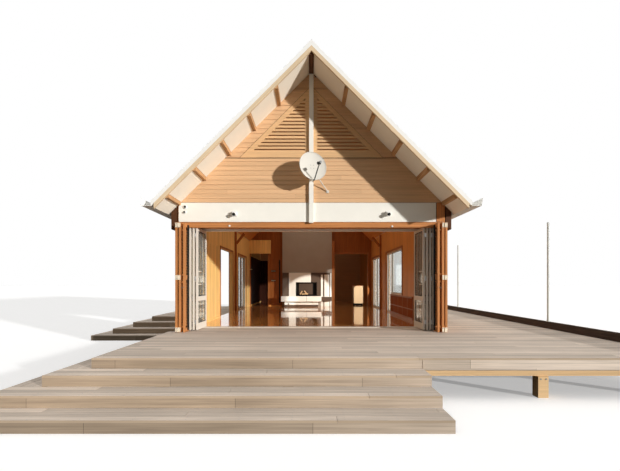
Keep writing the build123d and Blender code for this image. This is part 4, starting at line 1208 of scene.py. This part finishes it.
class BEACHHOUSE_OT_shutters(bpy.types.Operator):
    """Hinge plates with their knuckles and screws, and hooks, on the folded shutters"""

    bl_idname = "beachhouse.shutters"
    bl_label = "Shutter hardware"

    def execute(self, context):
        low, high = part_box("right_shutters")
        leaf, gap, plate_height, hook_level = 0.045, 0.033, 0.11, 1.62
        knuckle = high.x - leaf - gap / 2
        middle = (low.z + high.z) / 2
        y = low.y
        knuckles, screws, plates = bmesh.new(), bmesh.new(), []
        for side in (-1, 1):
            x = side * knuckle
            for foot in (low.z, middle - plate_height / 2, high.z - plate_height):
                for start, end in ((0.01, 0.058), (-0.058, -0.01)):
                    top = foot + plate_height - 0.004
                    plates.append(((x + start, y - 0.003, foot + 0.004), (x + end, y, top)))
                for index in range(5):
                    base = foot + 0.005 + index * 0.02
                    add_rod(knuckles, (x, y - 0.007, base), (x, y - 0.007, base + 0.019), 0.0095, sides=14)
                for across in (-0.045, -0.024, 0.024, 0.045):
                    for level in (0.025, 0.085):
                        spot = Vector((x + across, y - 0.003, foot + level))
                        add_rod(screws, spot, spot - Vector((0, 0.002, 0)), 0.005, sides=8)
            # A hook and its eye keep the folded leaves shut
            eye, tip, out = side * (low.x + 0.01), side * (low.x + 0.08), y - 0.027
            hooked = (tip, out, 1.6)
            for start, end in (
                ((eye, y, hook_level), (eye, y - 0.03, hook_level)),
                ((eye, out, hook_level), hooked),
                (hooked, (tip, y, 1.6)),
            ):
                add_rod(screws, start, end, 0.004, sides=8)
        parts = [bars("cream_enamel", plates, edge=0.001), as_part(knuckles, "cream_enamel")]
        add_piece("shutter_hinges", parts + [as_part(screws, "galvanised_bracket")])
        return {"FINISHED"}


class BEACHHOUSE_OT_fireplace(bpy.types.Operator):
    """Panels and uprights beside the surround, which paint its shade and stripes of sun, the bench's seam and
    plinth, and the fire on its grate
    """

    bl_idname = "beachhouse.fireplace"
    bl_label = "Fireplace"

    def execute(self, context):
        low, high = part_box("fireplace_surround")
        bench_low, bench_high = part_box("hearth_bench")
        box_low, box_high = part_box("firebox")
        wall, right = high.y, 0.98
        # A dark taupe panel left of the surround, and dark panels that paint the shade right of the surround
        # and the firebox, in the recess under the bench and on a ledge beyond it where the bench runs on in
        # shade
        panels = [
            ((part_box("chimney_breast")[0].x + 0.01, low.y + 0.01, low.z), (low.x - 0.004, wall, high.z)),
            (
                (bench_low.x + 0.15, bench_low.y + 0.1, deck_level),
                (bench_high.x - 0.15, bench_low.y + 0.15, bench_low.z + 0.09),
            ),
            ((high.x + 0.004, wall - 0.03, box_high.z), (right, wall, high.z)),
            ((box_high.x, wall - 0.03, box_low.z), (right, wall, box_high.z)),
            ((bench_high.x + 0.004, wall - 0.2, 0.874), (right, wall, 1.06)),
        ]
        # A paler plate stands at the back of the firebox
        plate_back = box_high.y - 0.035
        plate_low = (box_low.x + 0.14, plate_back - 0.015, box_low.z + 0.07)
        panels.append((plate_low, (box_high.x - 0.2, plate_back, box_high.z - 0.06)))
        # Pale stone strips paint light: one across the plinth where a patch of sun falls, and three uprights
        # right of the surround where stripes of sun fall between shadows
        stone = [((low.x + 0.02, bench_low.y + 0.085, 0.7), (high.x, bench_low.y + 0.1, 0.79))]
        for start, end, top in ((0.482, 0.576, 2.1), (0.646, 0.872, 2.1), (0.909, 0.975, 2.18)):
            stone.append(((start, wall - 0.045, deck_level), (end, wall, top)))
        joint = -0.19
        seam_low = (joint - 0.004, bench_low.y - 0.002, bench_high.z - 0.24)
        seam = (seam_low, (joint + 0.004, bench_high.y, bench_high.z + 0.001))

        # The firebox has a raised rim and a grate of nine bars on two rails with feet, with three logs
        face, bar = box_low.y - 0.006, 0.03
        inner_left, inner_right = box_low.x + bar, box_high.x - bar
        iron = [
            ((box_low.x, face, box_low.z), (inner_left, box_low.y, box_high.z)),
            ((inner_right, face, box_low.z), (box_high.x, box_low.y, box_high.z)),
            ((inner_left, face, box_high.z - bar), (inner_right, box_low.y, box_high.z)),
            ((inner_left, face, box_low.z), (inner_right, box_low.y, box_low.z + bar)),
        ]
        middle = (box_low.y + box_high.y) / 2
        foot, rail, grate = (box_low.z + height for height in (0.012, 0.036, 0.05))
        for index in range(9):
            x = box_low.x + 0.22 + index * 0.068
            iron.append(((x, middle - 0.07, grate), (x + 0.014, middle + 0.07, grate + 0.014)))
        for y in (middle - 0.07, middle + 0.056):
            iron.append(((box_low.x + 0.2, y, rail), (box_low.x + 0.8, y + 0.014, grate)))
            for x in (box_low.x + 0.22, box_low.x + 0.766):
                iron.append(((x, y, foot), (x + 0.014, y + 0.014, rail)))
        logs, log_radius = bmesh.new(), 0.028
        for (start, foot), (end, top) in (
            ((-0.5, 1.17), (-0.4, 1.33)),
            ((-0.3, 1.34), (-0.16, 1.17)),
            ((-0.42, 1.18), (-0.12, 1.2)),
        ):
            add_rod(logs, (start, middle, foot), (end, middle, top), log_radius, sides=10)
        parts = [bars("taupe_panel_and_painted_shade", panels), bars("black_rubber_seal", [seam], edge=0)]
        parts += [as_part(logs, "sawn_treated_pine"), bars("honed_stone_surround", stone)]
        add_piece("fireplace_trim", parts + [bars("soot_black_iron", iron, edge=0.001)])
        return {"FINISHED"}


class BEACHHOUSE_OT_woodwork(bpy.types.Operator):
    """Inside posts with braces, door linings, cupboard panels, kitchen counter and skirting"""

    bl_idname = "beachhouse.woodwork"
    bl_label = "Woodwork"

    def execute(self, context):
        inner = lining_right - 0.01
        wall_top = under_ridge - lining_right - 0.03
        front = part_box("partition_panels")[0].y
        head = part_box("partition_head")[0].z
        posts, braces = [], bmesh.new()
        for side, near, far in ((-1, 5.95, 6.07), (1, 7.1, 7.22)):
            posts.append(((side * inner, near, deck_level), (side * (inner - 0.07), far, wall_top)))
            middle = (near + far) / 2
            brace_foot = (side * (inner - 0.06), middle, 3.22)
            add_rod(braces, brace_foot, (side * (inner - 0.36), middle, 3.6), 0.05, sides=4)
        parts = [bars("varnished_trim", posts), as_part(braces, "varnished_trim")]
        add_piece("inside_posts", parts)

        # Linings of the two openings in the partition, the panel over the door and the dark joint
        door_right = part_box("partition_panels")[0].x
        kitchen_left, kitchen_right = 1.13, 2.72
        face = front - 0.022
        trim = [
            ((door_right, face, deck_level), (door_right + 0.06, front, head)),
            ((-inner, face, deck_level), (-inner + 0.05, front, head)),
            ((kitchen_left - 0.13, front - 0.3, deck_level), (kitchen_left, front, wall_top)),
            ((kitchen_right, face, deck_level), (kitchen_right + 0.07, front, head)),
            ((kitchen_left, face, head - 0.02), (kitchen_right + 0.07, front, head + 0.06)),
        ]
        panel = ((-inner, front - 0.1, head), (-1.9, front, 3.75))
        joint = ((-1.513, front - 0.004, 0.75), (-1.45, front, 2.81))
        parts = [bars("varnished_trim", trim), bars("lining_painted_light", [panel])]
        add_piece("partition_trim", parts + [bars("black_rubber_seal", [joint], edge=0)])

        # Two plates with four switches each, and the handle of the hall door
        plates, knobs = [], bmesh.new()
        for level in (1.83, 2.28):
            plates.append(((-1.89, front - 0.012, level - 0.045), (-1.67, front, level + 0.045)))
            for index in range(4):
                x = -1.86 + index * 0.053
                switch_low = (x - 0.012, front - 0.016, level - 0.02)
                add_bar(knobs, switch_low, (x + 0.012, front - 0.012, level + 0.02), 0.001)
        add_rod(knobs, (-2.9, front - 0.012, 2.36), (-2.9, front - 0.07, 2.36), 0.012)
        add_rod(knobs, (-2.9, front - 0.065, 2.36), (-2.78, front - 0.065, 2.36), 0.011)
        parts = [bars("dark_plastic", plates), as_part(knobs, "cream_enamel")]
        add_piece("switch_plates", parts)

        # Cupboard panels under the right window: five doors between rails, a pale ledge on top
        near, far = 2.15, 5.28
        foot, ledge = deck_level + 0.09, window_sill - 0.045
        rails = [
            ((inner, near, ledge), (inner - 0.04, far, window_sill)),
            ((inner, near, 0.93), (inner - 0.018, far, 0.96)),
            ((inner, near, deck_level), (inner - 0.02, far, foot)),
        ]
        for index in range(6):
            y = near + index * (far - near - 0.03) / 5
            rails.append(((inner, y, foot), (inner - 0.017, y + 0.03, ledge)))
        cupboard = ((inner, near, foot), (inner - 0.012, far, ledge))
        parts = [bars("varnished_cupboard", [cupboard]), bars("varnished_trim", rails)]
        add_piece("window_cupboard", parts)

        # End of the kitchen counter with its top and a toe space
        parts = [
            bars("pale_pine_level", [((2.14, 10.32, foot), (2.59, 10.9, 1.57))]),
            bars("varnished_trim", [((2.11, 10.3, 1.57), (2.62, 10.92, 1.605))]),
            bars("black_rubber_seal", [((2.16, 10.36, deck_level), (2.57, 10.86, foot))]),
        ]
        add_piece("kitchen_counter", parts)

        parts, top = [], deck_level + 0.05
        for side, doors, material in ((-1, left_doors, "lining_painted_light"), (1, right_doors, "brown_lining")):
            runs = stretches(room_near, room_far, doors)
            corners = [((side * inner, a, deck_level), (side * (inner - 0.016), b, top)) for a, b in runs]
            parts.append(bars(material, corners))
        across = ((door_right + 0.06, front - 0.016, deck_level), (-1.36, front, top))
        add_piece("skirting", parts + [bars("brown_lining", [across])])
        return {"FINISHED"}


class BEACHHOUSE_OT_dish(bpy.types.Operator):
    """Rolled rim, feed arm with its head, stay rod and bolts of the satellite dish"""

    bl_idname = "beachhouse.dish"
    bl_label = "Dish"

    def execute(self, context):
        low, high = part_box("dish")
        turn, tilt = math.radians(23), math.radians(8)
        axis = Vector((math.cos(tilt) * math.sin(turn), -math.cos(tilt) * math.cos(turn), math.sin(tilt)))
        across = axis.cross(Vector((0, 0, 1))).normalized()
        up = across.cross(axis)
        radius, depth = 0.32, 0.05
        rim = (low + high) / 2
        hub = rim - axis * depth
        bead = bmesh.new()
        add_ring(bead, rim + axis * 0.003, axis, radius - 0.004, 0.006)
        add_piece("dish_rim", [as_part(bead, "powder_coated_dish", smooth=True)])

        # The arm drops from the hub, turns under the rim and runs out to the feed head
        foot = hub - up * (radius - 0.08) - axis * 0.02
        head = rim - up * (radius * 0.22) + axis * 0.33
        bend = foot + axis * 0.08 - up * 0.1
        arm = bmesh.new()
        for start, end in ((hub - axis * 0.03 - up * 0.03, foot), (foot, bend), (bend, head - up * 0.02)):
            add_rod(arm, start, end, 0.014, sides=10)
        # The stay ends on a square plate on the gable's boards
        stay = bmesh.new()
        add_rod(stay, hub - axis * 0.03, (0.372, wall_front - board_depth[0], 3.797), 0.011, sides=10)
        add_bar(stay, (0.342, wall_front - 0.03, 3.767), (0.402, wall_front - 0.018, 3.827))
        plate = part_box("dish_mount")
        bolt_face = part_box("centre_posts")[0].y - 0.02
        for x in (-0.03, 0.03):
            for level in (plate[0].z + 0.02, plate[1].z - 0.02):
                add_rod(arm, (x, bolt_face, level), (x, bolt_face - 0.009, level), 0.009, sides=6)
        for a in (-0.035, 0.035):
            for b in (-0.035, 0.035):
                spot = hub + across * a + up * b
                add_rod(arm, spot, spot + axis * 0.012, 0.007, sides=6)
        parts = [as_part(arm, "galvanised_bracket"), as_part(stay, "powder_coated_dish")]
        add_piece("dish_arm", parts)

        feed = bmesh.new()
        aim = (hub - head).normalized()
        for start, end, near, far in (
            (-0.07, 0.02, 0.026, 0.026),
            (0.02, 0.045, 0.026, 0.036),
            (0.045, 0.052, 0.036, 0.036),
        ):
            add_rod(feed, head + aim * start, head + aim * end, near, sides=20, end_radius=far)
        add_rod(feed, head - aim * 0.05 - up * 0.02, head - aim * 0.05 - up * 0.05, 0.009)
        add_piece("dish_feed", [as_part(feed, "dark_plastic")])
        return {"FINISHED"}


class BEACHHOUSE_OT_lights(bpy.types.Operator):
    """Hoods and lenses of the two spotlights, the round sensors and the small lights under the beam"""

    bl_idname = "beachhouse.lights"
    bl_label = "Lights"

    def execute(self, context):
        hoods, lenses = bmesh.new(), bmesh.new()
        aim = Vector((0, -0.9, -0.45)).normalized()
        for low, high in solids("beam_lights"):
            middle = (low + high) / 2
            nose = Vector((middle.x, low.y, middle.z - 0.01))
            mouth = nose + aim * 0.05
            add_rod(hoods, nose + Vector((0, 0.01, 0)), mouth, 0.034, sides=20, end_radius=0.042)
            add_rod(lenses, mouth, nose + aim * 0.053, 0.037, sides=20)
            base = (high.x + 0.012, high.y, high.z + 0.012)
            add_bar(hoods, (low.x - 0.012, high.y - 0.012, low.z - 0.012), base, 0.004)
        nose = beam_face - 0.03
        for x, level, radius in ((-2.878, 3.449, 0.045), (-2.892, 3.328, 0.038)):
            narrow = radius * 0.75
            add_rod(hoods, (x, beam_face, level), (x, nose, level), radius, sides=20, end_radius=narrow)
            add_rod(lenses, (x, nose, level), (x, nose - 0.002, level), radius * 0.62, sides=16)
        for x, level in ((-1.875, 3.019), (1.857, 3.007)):
            add_rod(hoods, (x, 0, level), (x, -0.022, level), 0.024, sides=16, end_radius=0.018)
        parts = [as_part(hoods, "moulded_lamp_body"), as_part(lenses, "dark_plastic")]
        add_piece("light_fittings", parts)
        return {"FINISHED"}


class BEACHHOUSE_OT_fixings(bpy.types.Operator):
    """Screws in decks, treads and roof, bolts in the frame, gutter straps and the poles' caps"""

    bl_idname = "beachhouse.fixings"
    bl_label = "Fixings"

    def execute(self, context):
        sizes = context.scene.beach_house_sizes
        self.add_deck_screws(sizes.deck_board)
        self.add_roof_screws(sizes.rib_pitch, sizes.rib_height)
        self.add_gutter_straps()
        self.add_frame_bolts()
        self.add_pole_fittings()
        return {"FINISHED"}

    def add_deck_screws(self, deck_board):
        """Two screws a board over each joist of every deck and front tread."""
        fields = [(*map(tuple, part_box(node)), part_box(node)[1].z) for node in DECKS]
        left, near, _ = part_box("front_deck")[0]
        for step in (1, 2, 3):
            low = (left - step * step_run, near - step * step_run)
            high = (steps_right, near - (step - 1) * step_run)
            fields.append((low, high, deck_level - step * step_rise))
        inset, joist_gap, radius = 0.04, 0.6, 0.0055
        screws = []
        for low, high, top in fields:
            length, width = high[0] - low[0], high[1] - low[1]
            count = max(1, round(width / deck_board))
            pitch = width / count
            runs = max(2, round(length / joist_gap) + 1)
            step = (length - 2 * inset) / (runs - 1)
            for offset in (0.25, 0.75):
                pattern = bmesh.new()
                add_rod(pattern, (0, 0, -0.0005), (0, 0, 0.001), radius, sides=6)
                start = (low[0] + inset, low[1] + offset * pitch, top)
                grid = (runs, (step, 0, 0), count, (0, pitch, 0))
                screws.append(fittings(pattern, "brushed_steel", start, *grid))
        add_piece("deck_screws", screws)

    def add_roof_screws(self, rib_pitch, rib_height):
        """Screws with washers on every second rib, square to the slope."""
        low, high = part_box("roof_left")
        count = round((high.y - low.y) / rib_pitch)
        pitch = (high.y - low.y) / count
        slope_run = 0.57
        rows = int((-low.x * root2 - 0.4) / slope_run) + 1
        screws = []
        for side in (-1, 1):
            out = Vector((side, 0, 1)).normalized()
            down = Vector((side, 0, -1)).normalized()
            pattern = bmesh.new()
            add_rod(pattern, out * 0.001, out * 0.003, 0.011, sides=8)
            add_rod(pattern, out * 0.003, out * 0.008, 0.006, sides=6)
            start = Vector((0, low.y + pitch / 2, ridge_level)) + down * 0.35 + out * rib_height
            grid = (count // 2, (0, 2 * pitch, 0), rows, down * slope_run)
            screws.append(fittings(pattern, "galvanised_bracket", start, *grid))
        add_piece("roof_screws", screws)

    def add_gutter_straps(self):
        """Straps that carry the gutters from the roof's edge."""
        low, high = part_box("gutters")
        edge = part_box("roof_edges")[1].x
        half, count, inset = 0.014, 18, 0.2
        step = (high.y - low.y - 2 * inset) / (count - 1)
        straps = []
        for side in (-1, 1):
            pattern = bmesh.new()
            start = (side * edge, -half, low.z - 0.004)
            add_bar(pattern, start, (side * (high.x - 0.03), half, low.z), 0.001)
            add_bar(pattern, start, (side * (edge + 0.004), half, low.z + 0.11), 0.001)
            place = (0, low.y + inset, 0)
            straps.append(fittings(pattern, "coated_steel_white", place, count, (0, step, 0)))
        add_piece("gutter_straps", straps)

    def add_frame_bolts(self):
        """Bolts through the bearers into the posts, and pins along the curb."""
        shape = bmesh.new()
        for low, high in solids("deck_posts"):
            for x in (-0.04, 0.04):
                spot = Vector(((low.x + high.x) / 2 + x, low.y, high.z - 0.04))
                add_rod(shape, spot, spot - Vector((0, 0.008, 0)), 0.012, sides=6)
        low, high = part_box("deck_curb")
        for index in range(9):
            spot = Vector((low.x + 0.05, low.y + 0.25 + index * (high.y - low.y - 0.5) / 8, high.z))
            add_rod(shape, spot, spot + Vector((0, 0, 0.008)), 0.014, sides=6)
        add_piece("frame_bolts", [as_part(shape, "galvanised_bracket")])

    def add_pole_fittings(self):
        """A collar, a domed cap and a two-step foot on each slim pole."""
        shape = bmesh.new()
        for low, high in solids("edge_poles"):
            x, y = (low.x + high.x) / 2, (low.y + high.y) / 2
            radius = (high.x - low.x) / 2
            for start, end, wide, narrow in (
                (high.z - 0.03, high.z, radius + 0.003, radius + 0.003),
                (high.z, high.z + 0.012, radius + 0.003, radius * 0.5),
                (low.z, low.z + 0.012, radius + 0.022, radius + 0.022),
                (low.z + 0.012, low.z + 0.05, radius + 0.008, radius + 0.008),
            ):
                add_rod(shape, (x, y, start), (x, y, end), wide, sides=24, end_radius=narrow)
        add_piece("pole_fittings", [as_part(shape, "painted_pole")])


class BEACHHOUSE_OT_stage(bpy.types.Operator):
    """Pale floor, soft light and the photograph's camera"""

    bl_idname = "beachhouse.stage"
    bl_label = "Stage"

    def execute(self, context):
        stage = context.scene.beach_house_stage
        self.add_floor(context.scene, stage)
        self.add_dome(context.scene, stage)
        self.add_lights(context.scene, stage)
        self.add_camera(context.scene)
        context.scene.view_settings.view_transform = "Standard"
        return {"FINISHED"}

    def add_floor(self, scene, stage):
        """A wide floor that shows pale to the camera, but throws back little light on the house."""
        tree, shader = new_finish("studio_floor", 0.9)
        node = partial(add_node, tree)
        seen = node("ShaderNodeLightPath").outputs["Is Camera Ray"]
        dim, pale = ((*[share * v for v in stage.floor_colour], 1) for share in (stage.floor_bounce, 1.0))
        shown = node("ShaderNodeMix", {0: seen, 6: dim, 7: pale}, data_type="RGBA")
        lift = node("ShaderNodeMath", [seen, stage.floor_lift], operation="MULTIPLY")
        shader.inputs["Emission Color"].default_value = (1, 1, 1, 1)
        tree.links.new(shown.outputs[2], shader.inputs["Base Color"])
        tree.links.new(lift.outputs[0], shader.inputs["Emission Strength"])
        shape = bmesh.new()
        bmesh.ops.create_circle(shape, cap_ends=True, segments=96, radius=300)
        floor = bpy.data.objects.new("studio_floor", as_part(shape, "studio_floor"))
        scene.collection.objects.link(floor)

    def add_dome(self, scene, stage):
        """A dome that is dim at the horizon and bright overhead, like a wide soft box, and shows white."""
        world = bpy.data.worlds.new("studio")
        world.use_nodes = True
        world.node_tree.nodes.clear()
        node = partial(add_node, world.node_tree)
        path = node("ShaderNodeLightPath").outputs
        seen = node("ShaderNodeMath", [path["Is Camera Ray"], path["Is Glossy Ray"]], operation="MAXIMUM")
        through = node("ShaderNodeMath", [seen, path["Is Transmission Ray"]], operation="MAXIMUM")
        direction = node("ShaderNodeTexCoord").outputs["Generated"]
        height = node("ShaderNodeSeparateXYZ", [direction]).outputs[2]
        above = node("ShaderNodeMath", [height, 0.0], operation="MAXIMUM")
        steep = node("ShaderNodeMath", [above, 3.0], operation="POWER")
        strengths = stage.horizon_strength, stage.overhead_strength
        level = node("ShaderNodeMapRange", [steep, 0.0, 1.0, *strengths])
        fill = node("ShaderNodeBackground", {"Color": (1, 1, 1, 1), "Strength": level})
        white = node("ShaderNodeBackground", {"Color": (1, 1, 1, 1), "Strength": 1.0})
        mixed = node("ShaderNodeMixShader", [through, fill, white])
        node("ShaderNodeOutputWorld", {"Surface": mixed})
        scene.world = world

    def add_light(self, scene, name, kind, place=(0, 0, 0), aim=None, **settings):
        """A light at a place, along aim or straight down."""
        light = bpy.data.lights.new(name, kind)
        for key, value in settings.items():
            setattr(light, key, value)
        lamp = bpy.data.objects.new(name, light)
        lamp.location = place
        if aim:
            lamp.rotation_euler = aim.to_track_quat("-Z", "Y").to_euler()
        scene.collection.objects.link(lamp)
        return lamp

    def add_lights(self, scene, stage):
        """The key, the rooms' soft boxes and the two spots."""
        # The key stands in front, to the right and fairly low, as wide as a soft box
        key = {"energy": stage.key_strength, "angle": math.radians(1.8)}
        self.add_light(scene, "key", "SUN", aim=Vector((-1.2, 1.0, -0.25)), **key)
        # Soft boxes under the ceiling of the big room and of the back room
        for name, middle, length, share in (
            ("room_light", (0, 5.2, 4.9), 8.0, 1.0),
            ("back_room_light", (0, 11.8, 4.9), 3.5, 0.08),
        ):
            box = {"shape": "RECTANGLE", "size": 3.2, "size_y": length, "color": to_linear("#FFF2DC")}
            lamp = self.add_light(scene, name, "AREA", middle, energy=stage.room_strength * share, **box)
            lamp.visible_camera = False
            lamp.visible_glossy = False
        # Two small spots stand for the low sun that reaches the hearth and the counter from the side
        for name, place, target, angle, power in (
            ("hearth_spot", (2.3, 4.9, 2.5), (0.02, 9.2, 1.08), 24.5, 1300.0),
            ("counter_spot", (2.6, 7.4, 2.2), (2.4, 10.4, 1.1), 18, 420.0),
        ):
            spot = {"energy": power, "spot_size": math.radians(angle), "spot_blend": 0.3}
            aim = Vector(target) - Vector(place)
            lamp = self.add_light(scene, name, "SPOT", place, aim, color=to_linear("#FFF9EE"), **spot)
            lamp.visible_glossy = False

    def add_camera(self, scene):
        """The photograph's camera, level, with its frame shifted up."""
        data = bpy.data.cameras.new("photo_camera")
        data.lens = 22.65
        data.sensor_width = 36
        data.shift_y = 0.0766
        data.clip_end = 1000
        camera = bpy.data.objects.new("photo_camera", data)
        camera.location = (-0.03, -8.94, 1.71)
        camera.rotation_euler = (math.radians(90), 0, 0)
        scene.collection.objects.link(camera)
        scene.camera = camera


class BEACHHOUSE_PT_panel(bpy.types.Panel):
    """Sidebar panel that lists the sizes, the colours and the pieces"""

    bl_idname = "BEACHHOUSE_PT_panel"
    bl_label = "Beach house"
    bl_space_type = "VIEW_3D"
    bl_region_type = "UI"
    bl_category = "Beach house"

    def draw(self, context):
        layout = self.layout
        for name in GROUPS:
            group = getattr(context.scene, name)
            box = layout.box()
            for key in group.__annotations__:
                box.prop(group, key)
        for operator in OPERATORS:
            layout.operator(operator.bl_idname)


GROUPS = {
    "beach_house_sizes": BeachHouseSizes,
    "beach_house_colours": BeachHouseColours,
    "beach_house_stage": BeachHouseStage,
}
OPERATORS = (
    BEACHHOUSE_OT_finishes,
    BEACHHOUSE_OT_weatherboards,
    BEACHHOUSE_OT_decking,
    BEACHHOUSE_OT_roofing,
    BEACHHOUSE_OT_linings,
    BEACHHOUSE_OT_trims,
    BEACHHOUSE_OT_vents,
    BEACHHOUSE_OT_joinery,
    BEACHHOUSE_OT_shutters,
    BEACHHOUSE_OT_fireplace,
    BEACHHOUSE_OT_woodwork,
    BEACHHOUSE_OT_dish,
    BEACHHOUSE_OT_lights,
    BEACHHOUSE_OT_fixings,
    BEACHHOUSE_OT_stage,
)
CLASSES = (*GROUPS.values(), *OPERATORS, BEACHHOUSE_PT_panel)


def register():
    for cls in CLASSES:
        bpy.utils.register_class(cls)
    for name, group in GROUPS.items():
        setattr(bpy.types.Scene, name, PointerProperty(type=group))


def unregister():
    for name in GROUPS:
        delattr(bpy.types.Scene, name)
    for cls in reversed(CLASSES):
        bpy.utils.unregister_class(cls)


def main():
    """Dress the house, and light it."""
    register()
    bpy.ops.beachhouse.finishes()
    bpy.ops.beachhouse.weatherboards()
    bpy.ops.beachhouse.decking()
    bpy.ops.beachhouse.roofing()
    bpy.ops.beachhouse.linings()
    bpy.ops.beachhouse.trims()
    bpy.ops.beachhouse.vents()
    bpy.ops.beachhouse.joinery()
    bpy.ops.beachhouse.shutters()
    bpy.ops.beachhouse.fireplace()
    bpy.ops.beachhouse.woodwork()
    bpy.ops.beachhouse.dish()
    bpy.ops.beachhouse.lights()
    bpy.ops.beachhouse.fixings()
    bpy.ops.beachhouse.stage()


if __name__ == "__main__":
    main()
